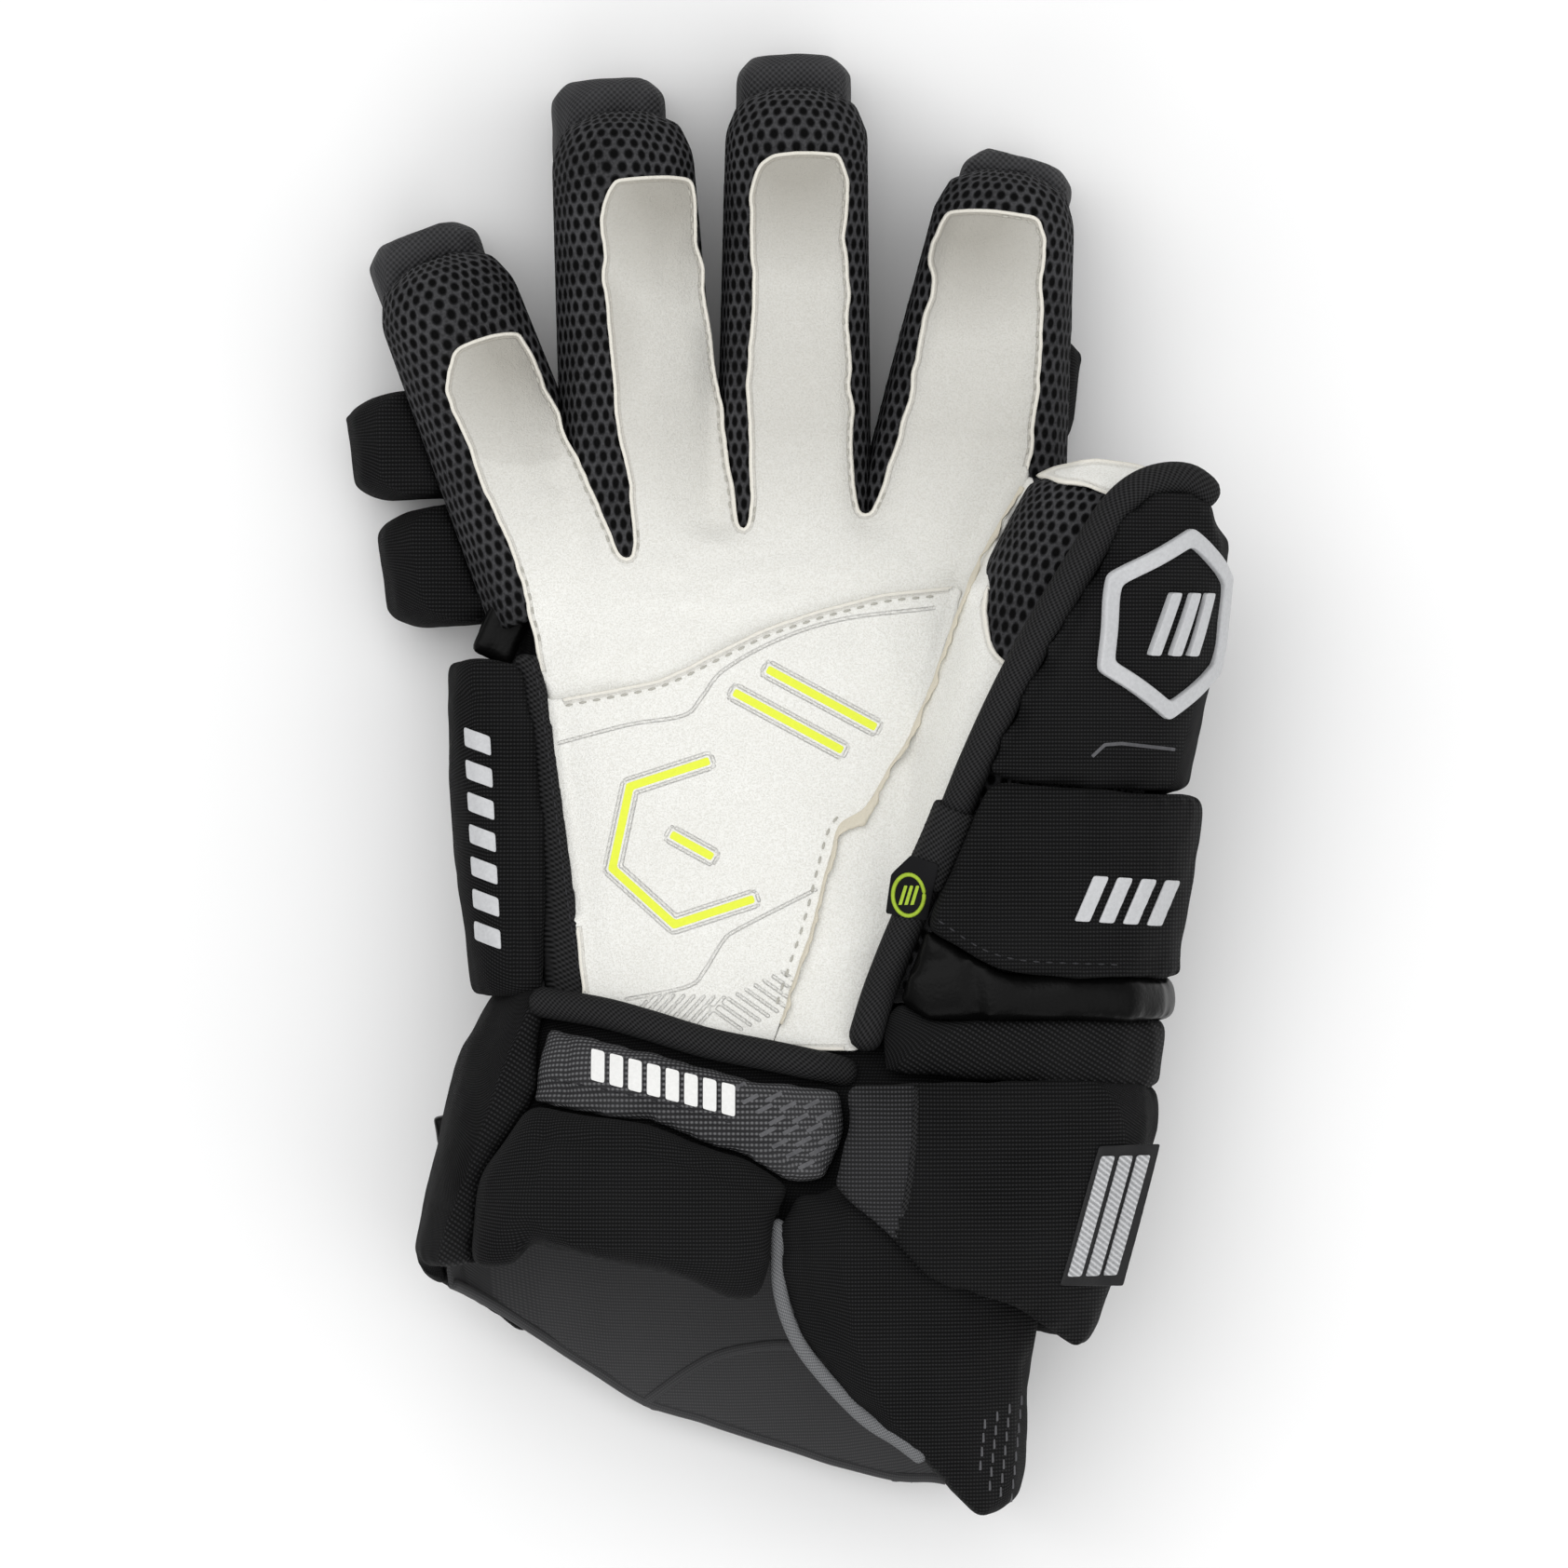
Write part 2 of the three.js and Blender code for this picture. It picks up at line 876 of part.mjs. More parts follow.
// Cuff wall between two distances, trimmed to one outline in front and one behind.
function cuffWall(inner, outer, front, back) {
  const trims = [];
  if (front) trims.push(prism(front, cuffSplit));
  if (back) trims.push(prism(back, belowAll, cuffSplit));
  return handLayer(inner, outer).intersect(join(trims));
}

// The lining is a tray under the hand and a ring in the cuff, which meet at the wrist.
const liningSplit = -54;
function handLining() {
  return hand(liningOuter)
    .subtract(hollow)
    .intersect(slab(liningSplit, 80, belowAll, handSplit));
}

const wristEnd = [
  [120, liningSplit - gap],
  [-120, liningSplit - gap],
];
function cuffLining() {
  const front = prism([...mouthFrontEdge, ...wristEnd], cuffSplit);
  const back = prism([...mouthBackEdge, ...wristEnd], belowAll, cuffSplit);
  return hand(liningOuter).subtract(hollow).intersect(front.add(back));
}

// Rolled bindings, laid along the outer surface of the padding.
const overPadding = heightOver(
  join([hand(thumbShellOuter - 0.5), thumb(thumbShellOuter - 0.5)]),
);
const thumbRopePoints = thumbEdge.map(
  ([x, y]) => new THREE.Vector3(x, y, overPadding(x, y) - ropeRadius + 0.4),
);
const overStrap = heightOver(hand(strapOuter));
const wristRopePoints = wristRopePath.map(
  ([x, y]) => new THREE.Vector3(x, y, overStrap(x, y) - 0.6),
);
// A woven loop sits round the thumb's rolled edge.
const thumbRopeLine = new THREE.CatmullRomCurve3(thumbRopePoints);
const labelPoints = [0.22, 0.25, 0.28, 0.31].map((share) =>
  thumbRopeLine.getPoint(share),
);
const labelRadius = ropeRadius + 1.3;
const labelClear = rope(labelPoints, labelRadius + gap, 8, 4);
const thumbRope = rope(thumbRopePoints, ropeRadius);
const thumbRopeClear = rope(thumbRopePoints, ropeRadius + gap);
const wristRope = rope(wristRopePoints, wristRopeRadius, 8, 10);
const wristRopeClear = rope(wristRopePoints, wristRopeRadius + gap, 8, 10);

// Everything on the far side of the thumb's bound edge, between two crossing lines.
const thumbSplit = 38;
function thumbUnderside(lowY, highY) {
  return slab(lowY, highY, belowAll, thumbSplit).subtract(
    prism([
      [-130, -100],
      [60, -100],
      [60, 100],
      [-130, 100],
    ]),
  );
}
function thumbSide(top, foot) {
  const lowY = foot.at(-1)[1];
  const highY = top.at(-1)[1];
  return prism([...top, ...foot.toReversed()], thumbSplit).add(thumbUnderside(lowY, highY));
}
const thumbTipSide = [...thumbEdge.slice(4), [101, 60], [125, 60]];
const thumbShellRegion = [
  ...thumbTipSide,
  [125, -3.6],
  [60, -0.1],
  [44, 2.2],
];

function thumbShell() {
  return thumb(thumbShellOuter)
    .subtract(glove(patchInner))
    .intersect(prism(thumbShellRegion, thumbSplit).add(thumbUnderside(-3.4, 90)))
    .subtract(thumbRopeClear)
    .subtract(labelClear);
}

function thumbBand(outer, top, foot) {
  return thumb(outer)
    .subtract(glove(patchInner))
    .intersect(thumbSide(top, foot))
    .subtract(thumbRopeClear)
    .subtract(labelClear);
}

const lowered = (line, by) => line.map(([x, y]) => [x, y - by]);

function thumbLeather() {
  const outline = [
    ...thumbWeb.map(([x, y]) => [x + 0.5, y]).toReversed(),
    [58.4, 74.5],
    [62, 90],
    [96, 90],
    ...thumbEdge.toReversed().slice(1),
  ];
  const clearTop = thumbEdge.at(0);
  return layer(palmInner, palmOuter)
    .intersect(prism([...outline, [clearTop[0], -64]], 44))
    .subtract(prism(thumbMeshWindow))
    .subtract(thumbRopeClear)
    .subtract(wristRopeClear);
}

function thumbTipLeather() {
  return layer(palmInner, palmOuter)
    .intersect(prism(thumbTipLeatherOutline, 44))
    .subtract(thumb(thumbShellOuter).intersect(prism(thumbShellRegion, 38)))
    .subtract(thumbRopeClear);
}

function cuffRoll() {
  const frames = cuffRollRows.map((row) => uprightFrame(row, 0));
  const inside = hand(sideFlapOuter + gap).add(thumb(palmInner));
  const region = prism(cuffRollFront, cuffSplit).add(
    prism(cuffRollBack, belowAll, cuffSplit),
  );
  return loft(frames, handCount, squareness).subtract(inside).intersect(region);
}

// Six-sided outline with its flats to the sides, looked at along its own axis.
function hexagon(radius) {
  return Array.from({ length: 6 }, (_, k) => {
    const turn = Math.PI / 2 + (Math.PI / 3) * k;
    return [radius * Math.cos(turn), radius * Math.sin(turn)];
  });
}

const badgeCentre = new THREE.Vector3(93, 38, 85);
const badgeFacing = new THREE.Vector3(0.72, -0.05, 0.69).normalize();
const badgeDepth = 22;
function turnedPrism(outline) {
  const shape = new THREE.Shape(outline.map(([x, y]) => new THREE.Vector2(x, y)));
  const geometry = new THREE.ExtrudeGeometry(shape, {
    depth: 2 * badgeDepth,
    bevelEnabled: false,
  });
  geometry.translate(0, 0, -badgeDepth);
  const side = new THREE.Vector3(0, 1, 0).cross(badgeFacing).normalize();
  const upward = badgeFacing.clone().cross(side);
  const turned = new THREE.Matrix4().makeBasis(side, upward, badgeFacing);
  geometry.applyMatrix4(turned.setPosition(badgeCentre));
  return toSolid(geometry);
}

function thumbBadge() {
  const skin = thumb(thumbShellOuter + 2).subtract(thumb(thumbShellOuter + gap));
  return skin
    .intersect(turnedPrism(hexagon(23)))
    .subtract(turnedPrism(hexagon(18.5)));
}

function cuffBadge() {
  const outer = loft(
    cuffRollRows.map((row) => uprightFrame(row, 2)),
    handCount,
    squareness,
  );
  const inner = loft(
    cuffRollRows.map((row) => uprightFrame(row, gap)),
    handCount,
    squareness,
  );
  const outline = [
    [73.5, -87],
    [100, -87],
    [100, -120],
    [65.4, -118],
  ];
  return outer.subtract(inner).intersect(prism(outline, 46));
}

function loopLabel() {
  return rope(labelPoints, labelRadius, 8, 4)
    .subtract(thumbRopeClear)
    .subtract(glove(patchInner));
}

add("palm", palm(), "suede");
add("palm_patch", palmPatch(), "suede");
add("thumb_leather", thumbLeather(), "suede");
add("thumb_tip_leather", thumbTipLeather(), "suede");
const neighbourOf = { little: fingers[1], ring: fingers[2], index: fingers[2] };
fingers.forEach((which) => {
  add("finger_tube_" + which.name, fingerTube(which, neighbourOf[which.name]), "mesh");
});
add("thumb_tube", thumb(meshOuter).subtract(hollow).subtract(hand(panelInner)), "mesh");
const padClears = fingerPads();
backRollRows.forEach((row) => {
  const clear = [glove(palmInner), sidePad(gap), ...padClears];
  add(row.name, backRoll(row).subtract(join(clear)), "knit");
});
add("side_tape", sideTape(), "nylon");
add("side_pad", sidePad(0).subtract(hand(tapeOuter + gap)), "knit");
add("thumb_shell", thumbShell(), "knit");
add("thumb_edge_roll", thumbRope, "nylon");
add(
  "thumb_roll",
  thumbBand(thumbRollOuter, thumbRollTop, thumbRollFoot),
  "knit",
);
add(
  "thumb_leather_pad",
  thumbBand(thumbLeatherPadOuter, lowered(thumbRollFoot, 0.5), thumbPadFoot),
  "leather",
);
add(
  "thumb_base_panel",
  thumbBand(thumbBasePanelOuter, lowered(thumbPadFoot, 0.5), cuffTop),
  "leather",
);
add("thumb_badge", thumbBadge(), "rubber");
add("loop_label", loopLabel(), "nylon");
add("hand_lining", handLining(), "lining");
add("cuff_lining", cuffLining(), "lining");
add("wrist_strap", cuffWall(panelInner, strapOuter, strapOutline).subtract(wristRopeClear), "knit");
add("wrist_edge_roll", wristRope, "nylon");
add("cuff_front_pad", cuffWall(panelInner, frontPadOuter, frontPadOutline), "knit");
add(
  "cuff_left_panel",
  cuffWall(panelInner, panelOuter, leftPanelOutline, leftPanelBackEdge).subtract(wristRopeClear),
  "knit",
);
add(
  "cuff_side_flap",
  cuffWall(panelInner, sideFlapOuter, sideFlapOutline, sideFlapBackEdge),
  "knit",
);
add("cuff_back_pad", cuffWall(panelInner, backPadOuter, null, backPadOutline), "knit");
add("cuff_roll", cuffRoll(), "knit");
add("cuff_badge", cuffBadge(), "rubber");

const overall = new THREE.Box3().setFromObject(gloveGroup);
const centre = overall.getCenter(new THREE.Vector3());
gloveGroup.position.set(-centre.x, -centre.y, -overall.min.z);

export default gloveGroup;
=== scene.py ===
# Ice hockey glove for the right hand, lying on its back with the palm up.
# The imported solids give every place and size. Each soft one is dressed here.
import bpy
import json
import math
from functools import partial
import numpy as np
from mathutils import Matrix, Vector, noise
from mathutils.bvhtree import BVHTree
from mathutils.geometry import delaunay_2d_cdt
from mathutils.kdtree import KDTree

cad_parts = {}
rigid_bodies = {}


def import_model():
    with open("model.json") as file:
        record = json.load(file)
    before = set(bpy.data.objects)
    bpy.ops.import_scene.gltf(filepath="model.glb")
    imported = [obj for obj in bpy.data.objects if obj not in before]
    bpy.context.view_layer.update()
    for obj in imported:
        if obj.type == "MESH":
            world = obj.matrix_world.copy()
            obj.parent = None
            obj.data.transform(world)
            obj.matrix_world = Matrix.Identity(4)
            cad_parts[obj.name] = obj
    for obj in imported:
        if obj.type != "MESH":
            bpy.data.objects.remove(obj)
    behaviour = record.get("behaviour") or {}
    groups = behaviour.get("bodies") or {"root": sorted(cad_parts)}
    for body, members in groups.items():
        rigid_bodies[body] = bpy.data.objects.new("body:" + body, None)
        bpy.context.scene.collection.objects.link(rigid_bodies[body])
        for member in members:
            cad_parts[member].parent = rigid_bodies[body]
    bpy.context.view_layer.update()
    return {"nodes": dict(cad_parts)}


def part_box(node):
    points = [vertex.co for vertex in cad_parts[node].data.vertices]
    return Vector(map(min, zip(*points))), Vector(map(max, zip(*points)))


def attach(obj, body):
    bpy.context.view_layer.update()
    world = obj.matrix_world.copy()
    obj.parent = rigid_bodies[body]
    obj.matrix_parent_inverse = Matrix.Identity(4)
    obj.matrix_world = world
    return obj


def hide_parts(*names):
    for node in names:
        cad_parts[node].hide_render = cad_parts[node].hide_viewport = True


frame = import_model()
cadNodes = frame["nodes"]
mm = 0.001
uvMm = 100  # what one unit of a UV map stands for, in mm
plan = {"shiftX": -0.12, "shiftY": 1.35}  # from the outlines' own zero to the part's, in mm


# Small tools

def activate(piece):
    bpy.ops.object.select_all(action="DESELECT")
    piece.select_set(True)
    bpy.context.view_layer.objects.active = piece


def applyNew(piece, kind, **settings):
    activate(piece)
    made = piece.modifiers.new(kind.lower(), kind)
    for key, value in settings.items():
        setattr(made, key, value)
    bpy.ops.object.modifier_apply(modifier=made.name)


def addPiece(name, points, faces, smooth=True):
    mesh = bpy.data.meshes.new(name)
    mesh.from_pydata([tuple(p) for p in points], [], [tuple(f) for f in faces])
    mesh.update()
    piece = bpy.data.objects.new(name, mesh)
    bpy.context.scene.collection.objects.link(piece)
    if smooth:
        mesh.polygons.foreach_set("use_smooth", [True] * len(mesh.polygons))
    return piece


def editAll(piece, operator, **settings):  # one operator in edit mode, on the whole mesh
    activate(piece)
    bpy.ops.object.mode_set(mode="EDIT")
    bpy.ops.mesh.select_all(action="SELECT")
    operator(**settings)
    bpy.ops.object.mode_set(mode="OBJECT")


def readPoints(piece):
    flat = np.zeros(len(piece.data.vertices) * 3, np.float32)
    piece.data.vertices.foreach_get("co", flat)
    return flat.reshape(-1, 3).astype(float)


def writePoints(piece, points):
    piece.data.vertices.foreach_set("co", np.asarray(points, np.float32).ravel())
    piece.data.update()


def planPoints(piece):  # points in mm, with the plan's own zero
    return readPoints(piece) / mm - [plan["shiftX"], plan["shiftY"], 0]


def vertexNormals(piece):
    flat = np.zeros(len(piece.data.vertices) * 3, np.float32)
    piece.data.vertices.foreach_get("normal", flat)
    return flat.reshape(-1, 3)


def softCopy(nodeName, name, voxel, soft, grow=0.0, reach=None, tuck=None):
    # A node's mesh made even, with an end pushed out or drawn in, softened and grown
    mesh = cadNodes[nodeName].data.copy()
    mesh.materials.clear()
    piece = bpy.data.objects.new(name, mesh)
    bpy.context.scene.collection.objects.link(piece)
    editAll(piece, bpy.ops.mesh.remove_doubles, threshold=1e-6)
    applyNew(piece, "REMESH", mode="VOXEL", voxel_size=voxel * mm, use_smooth_shade=True)
    points = readPoints(piece)
    y = points[:, 1] / mm - plan["shiftY"]
    if reach:  # what lies past a plan y goes further
        edge, push = reach
        points[:, 1] += push * mm * np.clip((y - edge) * np.sign(push) / 8, 0, 1)
    if tuck:  # what lies below a plan y is drawn in
        edge, pull = tuck
        points[:, 1] += pull * mm * np.clip((edge - y) / 12, 0, 1)
    writePoints(piece, points)
    applyNew(piece, "SMOOTH", factor=0.5, iterations=soft)
    writePoints(piece, readPoints(piece) + vertexNormals(piece) * grow * mm)
    return piece


def setRun(piece, name, u, v):  # a UV map from a place in mm for each point
    layer = piece.data.uv_layers.new(name=name)
    corner = np.zeros(len(piece.data.loops), np.int32)
    piece.data.loops.foreach_get("vertex_index", corner)
    places = np.column_stack([u[corner], v[corner]]) / uvMm
    layer.data.foreach_set("uv", places.ravel().astype(np.float32))


def setValues(piece, name, values):  # an attribute with a value for each point
    piece.data.attributes.new(name, "FLOAT", "POINT").data.foreach_set("value", values)


def toFrame(x, y, z=0.0):  # plan in mm to the frame in metres
    return Vector(((x + plan["shiftX"]) * mm, (y + plan["shiftY"]) * mm, z * mm))


def treeOf(pieces):
    points, faces = [], []
    for piece in pieces:
        start = len(points)
        points += [v.co.copy() for v in piece.data.vertices]
        faces += [[start + i for i in f.vertices] for f in piece.data.polygons]
    return BVHTree.FromPolygons(points, faces)


def treeOn(*names):
    return treeOf([bpy.data.objects[n] for n in names])


def topOf(tree, x, y):  # height in mm of what lies under a plan point
    hit = tree.ray_cast(toFrame(x, y, 250), Vector((0, 0, -1)))[0]
    return None if hit is None else hit.z / mm


def finishPiece(piece, nodeNames=(), finish=None):
    if finish:
        piece.data.materials.clear()
        piece.data.materials.append(finish)
    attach(piece, "root")
    if nodeNames:
        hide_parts(*nodeNames)
    return piece


# Finishes

def toLinear(code):
    channels = [int(code[i:i + 2], 16) / 255 for i in (0, 2, 4)]
    return [c / 12.92 if c <= 0.04045 else ((c + 0.055) / 1.055) ** 2.4 for c in channels] + [1]


def addNode(tree, kind, *values, out=0, **settings):
    # values go to the sockets in their order, settings to sockets and choices by their names.
    # Each is a number, a hex colour or another node's output, and None leaves a socket as it is
    made = tree.nodes.new("ShaderNode" + kind)
    given = dict(enumerate(values))
    for key, value in settings.items():
        if hasattr(made, key):
            setattr(made, key, value)
        else:
            given[[socket.identifier for socket in made.inputs].index(key)] = value
    for key, value in given.items():
        if isinstance(value, bpy.types.NodeSocket):
            tree.links.new(value, made.inputs[key])
        elif value is not None:
            made.inputs[key].default_value = toLinear(value) if isinstance(value, str) else value
    return made.outputs if out is None else made.outputs[out]


times, timesPlus = {"operation": "MULTIPLY"}, {"operation": "MULTIPLY_ADD"}
smooth = {"interpolation_type": "SMOOTHSTEP"}
mixed = {"data_type": "RGBA", "out": 2}
perMm = {"Scale": (1000, 1000, 1000)}


def clouds(size, detail=2.0):  # settings of a noise with blots of about size mm
    return {"Scale": 1 / size, "Detail": detail, "Roughness": 0.55}


def newFinish(name, roughness, shine=0.5, sheen=0.0):  # yarns shade each other, so cloth shines less
    made = bpy.data.materials.new(name)
    made.use_nodes = True
    values = {"Roughness": roughness, "IOR": 1.5, "Specular IOR Level": shine, "Sheen Weight": sheen,
        "Sheen Roughness": 0.5}
    for key, value in values.items():
        made.node_tree.nodes["Principled BSDF"].inputs[key].default_value = value
    return made, partial(addNode, made.node_tree)


def closeFinish(made, node, colour, height, depth):
    inputs = made.node_tree.nodes["Principled BSDF"].inputs
    bump = node("Bump", Strength=1.0, Distance=depth * mm, Height=height)
    made.node_tree.links.new(colour, inputs["Base Color"])
    made.node_tree.links.new(bump, inputs["Normal"])
    return made


def clothPlace(node, turn=0.0):  # across and along the cloth in mm, as it lies flat
    run = node("UVMap", uv_map="run")
    turned = node("Mapping", run, Scale=(uvMm, uvMm, uvMm), Rotation=(0, 0, math.radians(turn)))
    return node("SeparateXYZ", turned, out=None)[:2]


def wave(node, value, pitch, shift=0.0):  # ribs a pitch apart, from -1 to 1
    angle = node("Math", value, 2 * math.pi / pitch, shift, **timesPlus)
    return node("Math", angle, operation="SINE")


# Ribbed polyester knit, circular knitted: rows of loops about 1 mm apart show as fine ribs
def knitFinish(look):
    made, node = newFinish(look["name"], look["roughness"], 0.05, look.get("sheen", 0.008))
    across, along = clothPlace(node, look.get("turn", 0))
    place = node("Mapping", node("TexCoord", out="Object"), **perMm)
    sway = node("Math", node("TexNoise", place, **clouds(9)), 1.6, **times)
    rows = node("Math", wave(node, along, look["pitch"], sway), 0.5, 0.5, **timesPlus)
    loops = node("Math", wave(node, across, look["pitch"] * 0.85, sway), 0.35, 0.65, **timesPlus)
    yarn = node("Math", rows, loops, **times)
    worn = node("Math", node("TexNoise", place, **clouds(28)), 0.3, **times)
    shade = node("Math", node("Math", yarn, 2.0, operation="POWER"), 1.6, worn, **timesPlus)
    colour = node("Mix", shade, A_Color=look["dark"], B_Color=look["light"], **mixed)
    return closeFinish(made, node, colour, yarn, look.get("depth", 0.3))


# Ballistic nylon, plain weave of thick yarns: a small check that catches light on each yarn
def weaveFinish(look):
    made, node = newFinish(look["name"], look["roughness"], 0.12)
    warp, weft = (wave(node, value, look["pitch"]) for value in clothPlace(node))
    place = node("Mapping", node("TexCoord", out="Object"), **perMm)
    check = node("Math", node("Math", warp, weft, **times), 0.5, 0.5, **timesPlus)
    worn = node("Math", node("TexNoise", place, **clouds(14)), 0.4, **times)
    shade = node("Math", check, 0.7, worn, **timesPlus)
    colour = node("Mix", shade, A_Color=look["dark"], B_Color=look["light"], **mixed)
    return closeFinish(made, node, colour, check, 0.3)


# Spacer mesh, warp knitted polyester: hexagonal holes 3.9 mm apart with dark depth behind them
def airMeshFinish(look):
    made, node = newFinish(look["name"], look["roughness"], 0.07)
    size, depths = uvMm / look["pitch"], []
    for shift in (0.0, 0.5):  # two lattices make the honeycomb
        cell = node("VectorMath", node("UVMap", uv_map="run"), (size, size / 1.732, 0),
            (shift, shift, 0), **timesPlus)
        cell = node("VectorMath", cell, operation="FRACTION")
        cell = node("VectorMath", cell, (0.5, 0.5, 0), operation="SUBTRACT")
        cell = node("VectorMath", cell, (1, 1.45, 0), **times)
        depths.append(node("VectorMath", cell, operation="LENGTH", out="Value"))
    near = node("Math", *depths, operation="MINIMUM")
    strand = node("MapRange", near, look["hole"] - 0.12, look["hole"] + 0.09, **smooth)
    place = node("Mapping", node("TexCoord", out="Object"), **perMm)
    yarn = node("TexNoise", place, **clouds(0.8, 3))
    dust = node("Math", node("TexNoise", place, **clouds(16)), 0.8, -0.3, **timesPlus)
    shade = node("Math", strand, node("Math", yarn, 1.3, dust, **timesPlus), **times)
    colour = node("Mix", shade, A_Color=look["dark"], B_Color=look["light"], **mixed)
    return closeFinish(made, node, colour, node("Math", yarn, 0.35, strand, **timesPlus), look["depth"])


# Synthetic suede, buffed microfibre: dry, nearly white, with a cream rolled hem, painted shade in the hem's crease
# and painted shade greying the fingertips
def suedeFinish(look):
    made, node = newFinish(look["name"], 0.92, 0.2, 0.1)
    place = node("Mapping", node("TexCoord", out="Object"), **perMm)
    nap = node("TexNoise", place, **clouds(0.42, 3))  # drawn coarser than the real 0.1 mm nap, so that it shows
    patches = node("Math", node("TexNoise", place, **clouds(22, 3)), look["mottle"], **times)
    inward = node("Math", node("SeparateXYZ", node("UVMap", uv_map="hem"), out=1), uvMm, **times)
    cream = node("MapRange", inward, 1.1, 0.5, 0, 0.85, **smooth)
    gap = node("Math", node("Math", inward, look["crease"], operation="SUBTRACT"), operation="ABSOLUTE")
    crease = node("MapRange", gap, 0.45, 0.05, **smooth)
    height = node("Math", node("TexNoise", place, **clouds(1.3)), 0.7, nap, **timesPlus)
    height = node("Math", crease, -0.8, height, **timesPlus)
    colour = node("Mix", patches, A_Color=look["light"], B_Color=look["dark"], **mixed)
    colour = node("Mix", node("MapRange", nap, 0.35, 0.6, 0.4, 1, **smooth), A_Color=look["dark"],
        B_Color=colour, **mixed)
    paintedTipShade = node("Attribute", attribute_name="paintedTipShade", out="Fac")  # painted shade: greyer towards the fingertips, where the fingers slope down away from the light
    # painted shade: the fingertips greyed, and the hem's crease and the pressed grooves darkened with the shadow
    # colour; the hem's cream is its own colour
    hemAndPaintedShade = [(paintedTipShade, "a8a59d"), (cream, look["hem"]), (node("Math", crease, 0.3, **times), look["shadow"])]
    if look.get("grooves"):
        line = node("Attribute", attribute_name="groove", out="Fac")
        pressed = node("MapRange", line, 0.6, 0.15, **smooth)
        hemAndPaintedShade.append((node("Math", pressed, 0.05, **times), look["shadow"]))
        height = node("Math", pressed, -2.2, height, **timesPlus)
    for share, code in hemAndPaintedShade:
        colour = node("Mix", share, A_Color=colour, B_Color=code, **mixed)
    return closeFinish(made, node, colour, height, 0.3)


# Woven binding tape, folded over an edge: fine cross ribs
def tapeFinish(look):
    made, node = newFinish(look["name"], look["roughness"], 0.09)
    along, around = clothPlace(node)
    ribs = wave(node, node("Math", around, 0.45, along, **timesPlus), look["pitch"])
    yarns = wave(node, around, look["pitch"] * 0.9)
    height = node("Math", node("Math", ribs, yarns, **times), 0.5, 0.5, **timesPlus)
    colour = node("Mix", height, A_Color=look["dark"], B_Color=look["light"], **mixed)
    return closeFinish(made, node, colour, height, 0.25)


# Coated leather, pressed grain: darker and glossier than the cloth round it
def leatherFinish(look):
    made, node = newFinish(look["name"], look["roughness"], 0.09)
    place = node("Mapping", node("TexCoord", out="Object"), **perMm)
    grain = node("TexVoronoi", place, Scale=1 / look["grain"], feature="SMOOTH_F1")
    fold = node("TexNoise", place, **clouds(12, 4))
    colour = node("Mix", fold, A_Color=look["dark"], B_Color=look["light"], **mixed)
    return closeFinish(made, node, colour, node("Math", fold, 0.6, grain, **timesPlus), 0.07)


# Moulded rubber, printed film or thread: nearly even colour, with a faint speck so that it isn't flat
def mouldedFinish(look):
    made, node = newFinish(look["name"], look["roughness"], look.get("shine", 0.5))
    place = node("Mapping", node("TexCoord", out="Object"), **perMm)
    speck = node("TexNoise", place, **clouds(look.get("speck", 0.8)))
    if look.get("ribs"):  # fine slanted ribs cut in the mould
        x, y, _ = node("SeparateXYZ", place, out=None)
        ribs = wave(node, node("Math", x, 0.8, y, **timesPlus), look["ribs"])
        speck = node("Math", ribs, 0.4, node("Math", speck, 0.8, **times), **timesPlus)
    colour = node("Mix", speck, A_Color=look["dark"], B_Color=look["light"], **mixed)
    return closeFinish(made, node, colour, speck, look.get("depth", 0.05))


